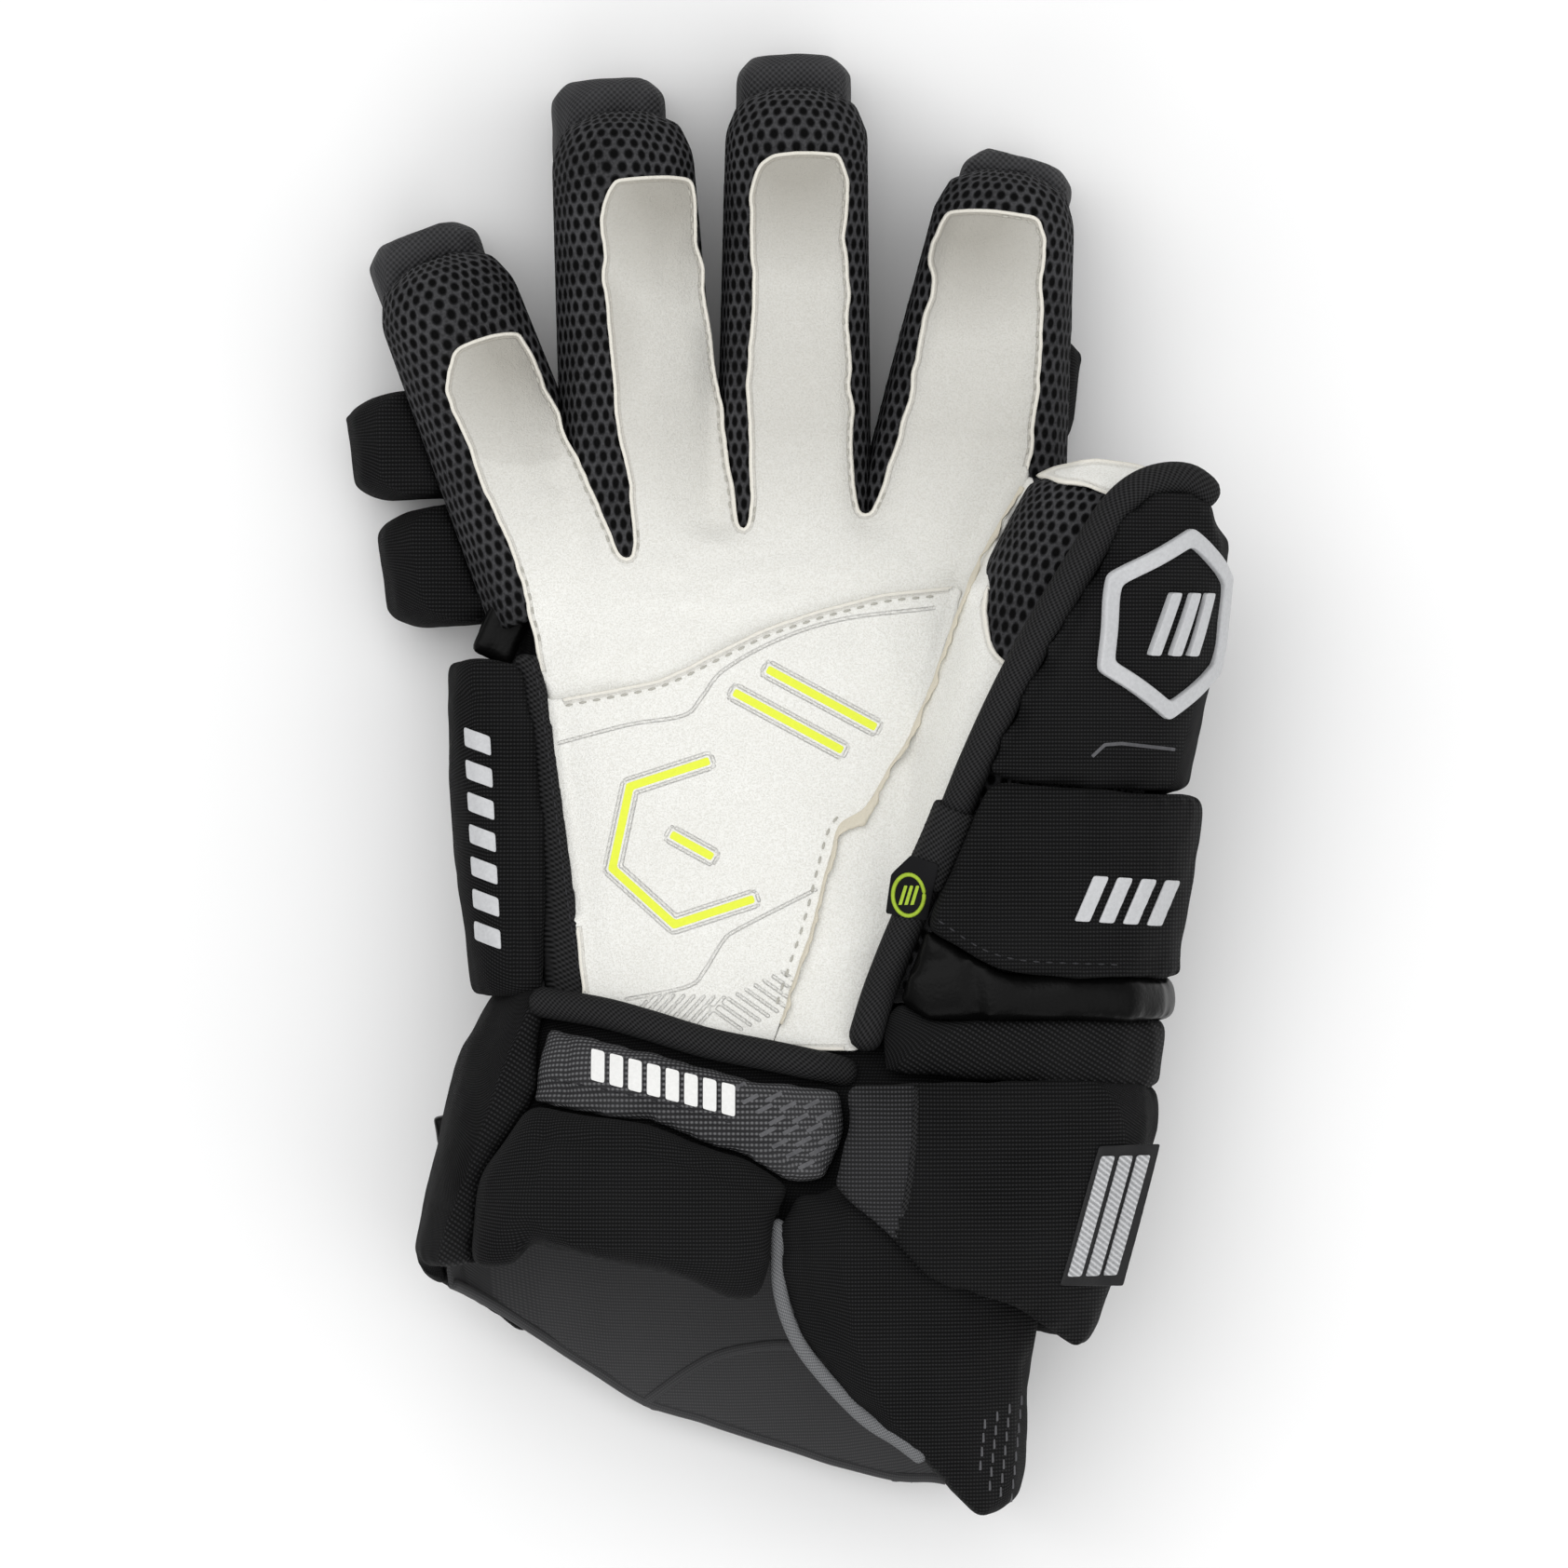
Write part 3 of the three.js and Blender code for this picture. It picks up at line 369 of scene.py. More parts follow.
finishLooks = {  # pitch, grain, speck, ribs and depth are in mm, and each pattern runs from dark to light
    knitFinish: {
        "knit": {"name": "polyester knit, ribbed", "pitch": 0.95, "roughness": 0.8, "dark": "050505",
            "light": "2d2d2e",
            "depth": 0.35},
        "shell": {"name": "nylon cuff shell", "pitch": 0.9, "roughness": 0.8, "dark": "050505", "light": "212122",
            "depth": 0.2},
        "gusset": {"name": "elastic gusset knit, grey", "pitch": 1.0, "roughness": 0.7, "dark": "0d0d0d",
            "light": "48484a"},
        "knitFine": {"name": "polyester jersey, fine ribs", "pitch": 0.9, "roughness": 0.76, "dark": "050505",
            "light": "2c2c2d", "depth": 0.26},
        "knitSlant": {"name": "polyester knit, slanted ribs", "pitch": 1.1, "turn": 32, "roughness": 0.74,
            "dark": "050505", "light": "2e2e2f"},
        "knitStrap": {"name": "webbing knit, dark grey", "pitch": 1.3, "roughness": 0.78, "dark": "171718",
            "light": "6e6e70"},
        "lining": {"name": "brushed tricot lining, grey", "pitch": 0.7, "roughness": 0.95, "dark": "3c3c3d",
            "light": "515152", "depth": 0.06, "sheen": 0.08},
    },
    weaveFinish: {
        "nylon": {"name": "ballistic nylon, plain weave", "pitch": 1.5, "roughness": 0.6, "dark": "0c0c0d",
            "light": "48484a"},
    },
    airMeshFinish: {
        "airMesh": {"name": "polyester spacer mesh, warp knitted", "pitch": 3.8, "hole": 0.3, "roughness": 0.8,
            "dark": "050505", "light": "464648", "depth": 0.9},
    },
    suedeFinish: {  # crease is how far in from the edge the hem is sewn down
        "suede": {"name": "synthetic suede, buffed", "crease": 1.2, "mottle": 0.35, "light": "f8f8f4",
            "dark": "dbd9d1", "hem": "eeeadf", "shadow": "b5aea0"},
        "suedeSeam": {"name": "synthetic suede, cut edge", "crease": 9, "mottle": 0.5, "light": "ece7da",
            "dark": "cdc6b4", "hem": "d9d2c0", "shadow": "b5aea0"},
        "suedePatch": {"name": "synthetic suede, heat pressed", "crease": 1.2, "mottle": 0.35, "grooves": True,
            "light": "f6f6f2", "dark": "dad8d0", "hem": "eeeadf", "shadow": "b9b2a4"},
    },
    tapeFinish: {
        "tape": {"name": "polyester binding tape, woven", "pitch": 1.3, "roughness": 0.72, "dark": "050505",
            "light": "343435"},
        "label": {"name": "satin label, woven", "pitch": 0.7, "roughness": 0.6, "dark": "050506", "light": "1f1f21"},
        "piping": {"name": "polyester piping, grey", "pitch": 0.9, "roughness": 0.85, "dark": "525355",
            "light": "88898b"},
    },
    leatherFinish: {
        "leather": {"name": "coated leather, pressed grain", "grain": 0.9, "roughness": 0.36, "dark": "040404",
            "light": "0c0c0c"},
    },
    mouldedFinish: {
        "silver": {"name": "silver rubber, moulded", "roughness": 0.42, "dark": "aeafb1", "light": "cbccce"},
        "silverRibbed": {"name": "silver rubber, ribbed", "roughness": 0.42, "dark": "8f9092", "light": "d0d1d3",
            "ribs": 1.5, "depth": 0.25},
        "black": {"name": "black rubber, moulded", "roughness": 0.5, "shine": 0.3, "dark": "0d0d0e",
            "light": "1a1a1c"},
        "white": {"name": "white transfer print, raised", "roughness": 0.5, "dark": "dededc", "light": "f2f2f0"},
        "yellow": {"name": "yellow transfer print", "roughness": 0.55, "dark": "dce62e", "light": "e8f23c"},
        "green": {"name": "green embroidery thread", "roughness": 0.7, "dark": "8ba823", "light": "b0cc34"},
        "film": {"name": "reflective film, dark grey", "roughness": 0.4, "dark": "38383b", "light": "505054"},
        "threadGrey": {"name": "polyester thread, grey", "roughness": 0.7, "dark": "a19f96", "light": "c0beb5",
            "speck": 0.4},
        "threadBlack": {"name": "polyester thread, black", "roughness": 0.6, "shine": 0.2, "dark": "1a1a1c",
            "light": "38383b", "speck": 0.4},
    },
}
finishes = {key: make(look) for make, looks in finishLooks.items() for key, look in looks.items()}
print("stage: finishes made")


# Camera straight over the palm, as in the photograph, from far away with a long lens

view = {"height": 3.05, "lens": 287, "sensor": 36}
camera = bpy.data.objects.new("camera", bpy.data.cameras.new("camera"))
camera.data.lens = view["lens"]
camera.data.sensor_width = view["sensor"]
camera.data.clip_end = 20
camera.location = toFrame(0, 0, view["height"] / mm)
bpy.context.scene.collection.objects.link(camera)
bpy.context.scene.camera = camera


# Outlines, heights and sheets, all in plan mm until a mesh is made

strips = {  # the suede strip up each finger: plan mm of its edges, row by row, with its tip between them
    "little": {"foot": [(-59.5, 31.7), (-62.2, 45)], "row": 54.1, "left": (-64.9, -66.5, -68.7, -70.7, -73, -74.3,
        -75.7, -77.9, -79.7, -81.5, -80.6, -79.5),
        "tip": [(-77.6, 105.2), (-74.4, 106.5), (-71.1, 107.6), (-67.5, 108.4), (-63.4, 108.6)],
        "right": (-60.5, -58.4, -56.9, -54.2, -52.9, -51.1, -48.8, -46.6, -44.8, -42.8, -41),
        "end": [(-39.6, 55.4), (-38.2, 54)]},
    "ring": {"foot": [(-36.6, 54.4)], "row": 58.1, "left": (-35.9, -36.5, -37, -37.2, -37.9, -39.2, -39.9, -40.8,
        -40.8, -41.2, -41.5, -42.1, -42.4, -43, -43.7, -43.2, -43.5, -44.4, -43.5, -41.7),
        "tip": [(-40.4, 144.9), (-36.4, 145.4), (-32, 145.8), (-27.5, 146), (-22.6, 145.6)],
        "right": (-21.2, -20.9, -20.7, -20.9, -19.3, -19.3, -18.7, -18, -17.3, -16.7, -16.4, -15.3, -14.6, -14.4,
            -13.7, -13.1, -12.4, -11.7, -11), "end": [(-10.4, 61.3)]},
    "middle": {"foot": [(-9, 61.2)], "row": 63.9, "left": (-8.3, -8.2, -8.2, -8.4, -8.4, -8.6, -8.8, -9.3, -8.8, -8.6,
        -8.2, -7.7, -7.7, -7.5, -8.2, -8.2, -7.9, -8.6, -7.7),
        "tip": [(-6.2, 148.6), (-2.6, 151), (2.9, 151.6), (7.6, 151.6), (13.4, 151.2)],
        "right": (15.8, 15.8, 15.1, 14.6, 15.5, 15.5, 16.2, 15.5, 15.5, 16.2, 16.4, 16, 16.9, 16.7, 16.4, 16.9, 16.9,
            17.5), "end": [(18.6, 64.9)]},
    "index": {"foot": [(20.6, 65)], "row": 67.9, "left": (22, 23.8, 25.1, 26.5, 27.8, 29.4, 30.3, 30.5, 31.8, 32.7,
        33.2, 35.2, 35.4, 34.5, 35.4, 37.6),
        "tip": [(39.2, 137.7), (44.9, 138), (50.1, 137.8), (55, 137.1), (60.2, 136.3)],
        "right": (61.6, 62.9, 62.9, 62, 62.2, 62.5, 62, 62, 61.6, 61.4, 60.7, 60.2, 60, 59.1), "end": []},
}
rowStep = 4.49


def stripOutline(look):
    left = [(x, look["row"] + rowStep * k) for k, x in enumerate(look["left"])]
    top = left[-1][1]
    right = [(x, top - rowStep * k) for k, x in enumerate(look["right"])]
    return look["foot"] + left + look["tip"] + right + look["end"]


strips = {name: stripOutline(look) for name, look in strips.items()}
edges = {  # the other cut edges, plan mm
    "thumbWeb": [(57.7, 72), (48.7, 56.3), (44.6, 48), (39.4, 34), (36, 23.9), (31, 12), (19.7, -6.3), (13.6, -9.6),
        (11, -19.7), (7.6, -33.1), (4, -44), (0, -56), (-3, -63.5)],
    "heel": [(-25, -62), (-47.6, -54)],  # under the wrist roll
    "tape": [(-50.3, -30.8), (-53.9, -4), (-57.6, 22.8)],  # under the side tape
    "patchTop": [(-57.4, 19.8), (-42.9, 22.4), (-29.5, 25), (-18.3, 30.6), (-4.9, 37.3), (8.5, 41.8), (24.1, 45.8),
        (42.6, 47.6)],
    "window": [(60.6, 73.4), (55.4, 67.5), (51, 59.7), (48.7, 51.9), (47.8, 40.7), (49.4, 31.7), (54.3, 27.6)],
    "thumbRoll": [(18.4, -63.5), (23, -48.7), (30.2, -30.8), (38.2, -13), (45.4, 4.9), (53.6, 22.8), (62.4, 39),
        (70.6, 52.6), (78.6, 65.2), (86.5, 71.2), (95.5, 72.2), (102.4, 67.4)],
    "wristRoll": [(-61, -51.4), (-57, -52.2), (-42.9, -54.6), (-31.7, -57.6), (-18.3, -61.6), (-1.3, -65),
        (10.4, -67.6), (17.5, -69.6)],
}


def resample(points, spacing, closed=True):
    points = np.asarray(points, float)
    if closed:
        points = np.vstack([points, points[:1]])
    steps = np.r_[0, np.cumsum(np.linalg.norm(np.diff(points, axis=0), axis=1))]
    count = max(int(round(steps[-1] / spacing)), 3)
    at = np.linspace(0, steps[-1], count, endpoint=not closed)
    return np.column_stack([np.interp(at, steps, points[:, k]) for k in range(points.shape[1])])


def soften(points, reach, closed=True):  # Gaussian along the line, reach in samples
    width = int(3 * reach) + 1
    kernel = np.exp(-0.5 * (np.arange(-width, width + 1) / reach) ** 2)
    kernel /= kernel.sum()
    if closed:
        padded = np.vstack([points[-width:], points, points[:width]])
    else:
        padded = np.vstack([2 * points[0] - points[width:0:-1], points, 2 * points[-1] - points[-2:-width - 2:-1]])
    return np.column_stack([np.convolve(padded[:, k], kernel, "valid") for k in range(points.shape[1])])


def normalsOf(points):  # to the right of the way along, in plan
    ahead = np.roll(points, -1, 0) - np.roll(points, 1, 0)
    ahead /= np.maximum(np.linalg.norm(ahead, axis=1), 1e-9)[:, None]
    return np.column_stack([ahead[:, 1], -ahead[:, 0]])


def smoothLine(points, spacing=1.0):  # a spline through a few plan points
    points = np.asarray(points, float)
    ends = np.vstack([2 * points[0] - points[1], points, 2 * points[-1] - points[-2]])
    made = []
    for k in range(1, len(ends) - 2):
        a, b, c, d = ends[k - 1:k + 3]
        for t in np.linspace(0, 1, 12, endpoint=False):
            bend = (2 * a - 5 * b + 4 * c - d) * t * t + (3 * b - a - 3 * c + d) * t ** 3
            made.append(0.5 * (2 * b + (c - a) * t + bend))
    made.append(points[-1])
    return resample(made, spacing, closed=False)


def insideOf(points, outline):
    x, y = points[:, 0], points[:, 1]
    inside = np.zeros(len(points), bool)
    for (x0, y0), (x1, y1) in zip(outline, np.roll(outline, -1, 0)):
        if y0 != y1:
            crosses = ((y0 > y) != (y1 > y)) & (x < (x1 - x0) * (y - y0) / (y1 - y0) + x0)
            inside ^= crosses
    return inside


def heightField(sources, box, pitch=1.0, reach=2.5):
    # Smoothed height in mm over the plan. sources are (tree, lift), the first that is hit counts
    x0, y0, x1, y1 = box
    xs, ys = np.arange(x0, x1 + pitch, pitch), np.arange(y0, y1 + pitch, pitch)
    z, weight = np.zeros((len(ys), len(xs))), np.zeros((len(ys), len(xs)))
    for j, y in enumerate(ys):
        for i, x in enumerate(xs):
            for tree, lift in sources:
                top = topOf(tree, x, y)
                if top is not None:
                    z[j, i], weight[j, i] = top + lift, 1
                    break
    width = int(3 * reach / pitch) + 1
    kernel = np.exp(-0.5 * (np.arange(-width, width + 1) * pitch / reach) ** 2)

    def spread(values):
        for axis in (0, 1):
            values = np.apply_along_axis(lambda row: np.convolve(row, kernel, "same"), axis, values)
        return values

    if min(z.shape) <= len(kernel):
        smooth = np.where(weight > 0, z, z[weight > 0].mean())
    else:
        smooth = spread(z * weight) / np.maximum(spread(weight), 1e-6)

    def at(points):
        points = np.asarray(points, float).reshape(-1, 2)
        u = np.clip((points[:, 0] - x0) / pitch, 0, len(xs) - 1.001)
        v = np.clip((points[:, 1] - y0) / pitch, 0, len(ys) - 1.001)
        i, j = u.astype(int), v.astype(int)
        u, v = u - i, v - j
        low = smooth[j, i] * (1 - u) + smooth[j, i + 1] * u
        high = smooth[j + 1, i] * (1 - u) + smooth[j + 1, i + 1] * u
        return low * (1 - v) + high * v

    return at


def nearest(points, line):  # how far each point is from the nearest of a line, and which that is
    tree = KDTree(len(line))
    for k, p in enumerate(line):
        tree.insert((p[0], p[1], 0), k)
    tree.balance()
    found = [tree.find((p[0], p[1], 0)) for p in points]
    return np.array([f[2] for f in found]), np.array([f[1] for f in found])


def rimDistance(points, outline):  # distance to the rim and the place along it, in mm
    fine = 0.25
    away, place = nearest(points, resample(outline, fine))
    return away, place * fine


def outwardOf(line, outline, at=0, closed=True):  # unit steps away from the outline that a line follows
    side = normalsOf(line)
    if not closed:
        side[0], side[-1] = side[1], side[-2]
    return -side if insideOf((line + 0.3 * side)[at:at + 1], outline)[0] else side


def facedUp(spots, face):  # a flat triangle turned so that it faces up
    a, b, c = (spots[k] for k in face)
    return face if (b - a).cross(c - a) > 0 else face[::-1]


hem = {"bead": 0.35, "at": 0.45, "wide": 0.3, "creaseAt": 1.15, "creaseWide": 0.35, "pressed": 1.3,
    "pressedWide": 2.2}  # the rolled edge of a suede piece and the crease inside it, mm


def layOut(name, outline, heightAt, look):
    # A flat cut laid over what carries it: rows along the hem, a grid inside
    pitch = look["pitch"]
    outline = resample(outline, 0.8)
    side = outwardOf(outline, outline)
    rows = [outline]
    for step in look["rows"]:
        moved = outline - step * side
        inside = insideOf(moved, outline)
        far = rimDistance(moved, outline)[0]
        rows.append(moved[inside & (far > 0.93 * step)])
    low, high = outline.min(0), outline.max(0)
    deep = look["rows"][-1]
    grid = np.array([(x, y) for j, y in enumerate(np.arange(low[1], high[1], pitch * 0.866))
        for x in np.arange(low[0] + (j % 2) * pitch / 2, high[0], pitch)])
    grid = grid[insideOf(grid, outline)]
    grid = grid[rimDistance(grid, outline)[0] > deep + 0.45 * pitch]
    points = np.vstack(rows + [grid])
    count = len(outline)
    joints = [(k, (k + 1) % count) for k in range(count)]
    made = delaunay_2d_cdt([Vector(p) for p in points], joints, [list(range(count))], 1, 1e-5)
    flat = np.array([tuple(p) for p in made[0]])
    away, run = rimDistance(flat, outline)
    z = heightAt(flat)
    bead = look.get("bead", hem["bead"])
    for line in look["bare"]:
        under = resample(smoothLine(line), 0.5, closed=False)
        near = np.array([np.abs(under - p).sum(1).min() for p in flat])
        away = np.where(near < 4, np.maximum(away, np.interp(near, (2.6, 4), (9, 2.2))), away)
        if line in (edges["tape"], edges["heel"]):  # pressed down by what covers it
            z -= hem["pressed"] * np.clip(1 - near / hem["pressedWide"], 0, 1)
    z += bead * np.exp(-0.5 * ((away - hem["at"]) / hem["wide"]) ** 2)
    z -= 0.5 * bead * np.exp(-0.5 * ((away - hem["creaseAt"]) / hem["creaseWide"]) ** 2)
    for x, y, size, height, seed in look.get("folds", ()):
        spot = np.array([noise.noise((px / x, py / y, seed)) for px, py in flat])
        z += height * spot * np.clip(away / size, 0, 1)
    points = [toFrame(x, y, h) for (x, y), h in zip(flat, z)]
    faces = [facedUp(made[0], f) for f in made[2]]
    piece = addPiece(name, points, faces)
    setRun(piece, "hem", run, away)
    return piece, flat


def tube(name, points, radius, finish, nodeNames=(), sides=12, flatten=1.0):
    # A round cord along points in mm (x, y, z), with its run and girth kept for the weave
    points = np.asarray(points, float)
    ahead = np.gradient(points, axis=0)
    ahead /= np.linalg.norm(ahead, axis=1)[:, None]
    across = np.cross(ahead, [0, 0, 1.0])
    across /= np.maximum(np.linalg.norm(across, axis=1), 1e-6)[:, None]
    up = np.cross(across, ahead)
    run = np.r_[0, np.cumsum(np.linalg.norm(np.diff(points, axis=0), axis=1))]
    made, u, v = [], [], []
    for k in range(len(points)):
        close = min(run[k], run[-1] - run[k]) / radius
        size = radius * math.sqrt(max(1 - (1 - min(close, 1)) ** 2, 0.02))
        for s in range(sides):
            turn = 2 * math.pi * s / sides
            p = points[k] + size * (math.cos(turn) * across[k] + flatten * math.sin(turn) * up[k])
            made.append(toFrame(*p))
            u.append(run[k])
            v.append(radius * turn)
    faces = []
    for a in range(0, (len(points) - 1) * sides, sides):
        for s in range(sides):
            t = (s + 1) % sides
            faces.append((a + sides + s, a + sides + t, a + t, a + s))
    faces.append(tuple(range(sides)))
    faces.append(tuple(range((len(points) - 1) * sides, len(points) * sides))[::-1])
    piece = addPiece(name, made, faces)
    setRun(piece, "run", np.array(u), np.array(v))
    editAll(piece, bpy.ops.mesh.normals_make_consistent, inside=False)
    return finishPiece(piece, nodeNames, finishes[finish])


def stitchRow(name, lines, tree, look):
    # One stitch is modelled, then laid along each plan line
    bpy.ops.object.select_all(action="DESELECT")
    bpy.ops.mesh.primitive_uv_sphere_add(segments=6, ring_count=5, radius=1)
    one = bpy.context.active_object
    shape = readPoints(one)
    faces = [list(f.vertices) for f in one.data.polygons]
    bpy.data.objects.remove(one)
    points, allFaces = [], []
    for line in lines:
        spots = resample(line, look["pitch"], closed=False)
        for a, b in zip(spots, spots[1:]):
            ahead = (b - a) / max(np.linalg.norm(b - a), 1e-9)
            middle = (a + b) / 2
            ends = [topOf(tree, *(middle + k * look["length"] / 2 * ahead)) for k in (-1, 1)]
            if None in ends:
                continue
            slope = (ends[1] - ends[0]) / look["length"]
            z = (ends[0] + ends[1]) / 2 + look.get("lift", 0.1)
            start = len(points)
            for x, y, h in shape:
                along, side = x * look["length"] / 2, y * look["radius"]
                spot = middle + along * ahead + side * np.array([ahead[1], -ahead[0]])
                points.append(toFrame(spot[0], spot[1], z + h * look["radius"] * 0.8 + along * slope))
            allFaces += [[start + k for k in f] for f in faces]
    piece = addPiece(name, points, allFaces)
    editAll(piece, bpy.ops.mesh.normals_make_consistent, inside=False)
    return finishPiece(piece, finish=finishes[look["finish"]])


# Padded pieces: foam under cloth, swollen by a short cloth simulation

# voxel is the mesh's grain, soft its rounds of smoothing, cap how far it may swell, grow how far it starts out,
# folds are soft dents (size, height), creases are plan lines pressed in (line, depth, width), all in mm.
# reach and tuck stretch or draw in what lies past a plan y, and second is another cloth left of a seam
pads = {
    "side_pad": {"voxel": 2.0, "soft": 5, "cap": 1.6, "finish": "knit", "reach": (-38, -2.4),
        "creases": ((((-72.6, 24), (-63.4, -44)), 0.9, 1.1), (((-66.2, 26), (-57.6, -44)), 0.6, 0.9),
            (((-77, 21), (-58, 21.5)), 0.5, 0.9))},
    "thumb_shell": {"voxel": 2.2, "soft": 6, "cap": 1.8, "finish": "knitFine",
        "creases": ((((52, 8), (60, 24), (69, 40), (79, 56), (90, 64), (99, 62)), 0.9, 1.3),
            (((50, 3.5), (70, 5), (100, 3)), 0.4, 0.9))},
    "thumb_roll": {"voxel": 2.2, "soft": 4, "cap": 1.8, "finish": "knit",
        "creases": ((((54, -2), (47, -20), (43, -36)), 0.8, 1.5), (((34, -31), (52, -41), (100, -43)), 0.5, 0.8))},
    "thumb_leather_pad": {"voxel": 2.0, "soft": 4, "cap": 2.2, "finish": "leather", "folds": ((16, 0.9), (6, 0.15)),
        "creases": ((((44.5, -44), (46, -56)), 0.9, 1.8), (((22, -46), (30, -43), (38, -42)), 0.8, 1.6))},
    "thumb_base_panel": {"voxel": 2.0, "soft": 5, "cap": 1.2, "finish": "knitSlant", "reach": (-64, -3.2)},
    "wrist_strap": {"voxel": 1.8, "soft": 4, "cap": 0.9, "finish": "knitStrap",
        "creases": ((((-57, -72), (-31, -77), (-9, -84.5), (4, -90)), 1.1, 1.3),
            (((-55, -74.5), (-31, -79.5), (-9, -87), (2, -93)), 0.5, 0.7), (((-51.5, -60), (-52.5, -77)), 0.5, 0.9))},
    "cuff_front_pad": {"voxel": 2.2, "soft": 6, "cap": 2.6, "grow": 0.8, "finish": "knitFine",
        "folds": ((20, 0.8), (7, 0.25)),
        "creases": ((((-56, -80), (-60, -95), (-61, -108)), 0.6, 1.5),
            (((-57, -83.5), (-31, -87), (-9, -94.5), (-2, -99)), 0.5, 1.0))},
    "cuff_left_panel": {"voxel": 2.0, "soft": 4, "cap": 1.2, "grow": 0.8, "finish": "knitSlant", "reach": (-60, 2.6),
        "creases": ((((-84, -100), (-72, -103), (-58, -104)), 0.7, 1.2),)},
    "cuff_side_flap": {"voxel": 2.2, "soft": 8, "cap": 1.8, "finish": "knitFine", "tuck": (-160, 3.0),
        "folds": ((20, 0.7), (7, 0.3)),
        "creases": ((((3.5, -106), (6, -122), (14, -134), (28, -148), (41, -162)), 0.7, 1.1),)},
    "cuff_back_pad": {"voxel": 2.4, "soft": 6, "cap": 1.6, "finish": "knitFine", "tuck": (-95, 2.2)},
    "cuff_roll": {"voxel": 2.4, "soft": 6, "cap": 2.2, "finish": "knit", "folds": ((24, 1.0), (8, 0.3)),
        "reach": (-76, 1.8),
        "second": {"finish": "gusset", "line": ((31.5, -66), (31, -80), (29, -98), (23, -118))},
        "creases": ((((31.5, -66), (31, -80), (29, -98), (23, -118)), 0.9, 0.9),
            (((40, -71.5), (62, -73.5), (88, -74)), 0.5, 0.8))},
}
for row in ("knuckle_roll", "back_roll_1", "back_roll_2", "back_roll_3", "back_roll_4"):
    pads[row] = {"voxel": 2.6, "soft": 4, "cap": 1.6, "finish": "nylon"}
for finger in ("little", "ring", "middle", "index"):
    pads["tip_cap_" + finger] = {"voxel": 1.3, "soft": 3, "cap": 0.6, "finish": "nylon", "folds": ((8, 0.35),)}
    for joint in ("outer", "inner"):
        pads[f"finger_pad_{finger}_{joint}"] = {"voxel": 2.0, "soft": 4, "cap": 1.8, "finish": "knit"}
hidden = {"below": -156, "gap": 0.25, "reach": 6}  # where the lining draws in, and the room that a pad leaves it


def crumple(piece, folds, creases):
    points, normals = planPoints(piece), vertexNormals(piece)
    depth = np.zeros(len(points))
    for size, height in folds:  # soft dents of about size mm
        depth += height * np.array([noise.noise((x / size, y / size, z / size + size)) for x, y, z in points])
    for line, low, width in creases:
        far = nearest(points, smoothLine(line, 0.8))[0]
        depth -= low * np.exp(-0.5 * (far / width) ** 2) * np.clip(normals[:, 2] * 3, 0, 1)
    writePoints(piece, readPoints(piece) + normals * depth[:, None] * mm)


def layFlat(piece):  # where each point lies on the pad's cloth: as seen on top, let down over the sides
    points, normals = planPoints(piece), vertexNormals(piece)
    top = points[normals[:, 2] > 0.8]
    plane = np.linalg.lstsq(np.c_[top[:, :2], np.ones(len(top))], top[:, 2], rcond=None)[0]
    drop = np.maximum(np.c_[points[:, :2], np.ones(len(points))] @ plane - points[:, 2], 0)
    away = points[:, :2] - top[:, :2].mean(0)
    away /= np.abs(away).max(0)
    away /= np.maximum(np.linalg.norm(away, axis=1), 0.4)[:, None]
    flat = points[:, :2] + away * drop[:, None]
    setRun(piece, "run", flat[:, 0], flat[:, 1])


def keepOff(points, was):  # no point goes into the lining behind it
    for tree in liningTrees:
        for k, start in enumerate(was):
            if start[1] / mm < hidden["below"]:
                continue
            near, normal = tree.find_nearest(Vector(start), hidden["reach"] * mm)[:2]
            if near is not None:
                short = hidden["gap"] * mm - (Vector(points[k]) - near).dot(normal)
                if short > 0:
                    points[k] += np.array(normal) * short
    return points


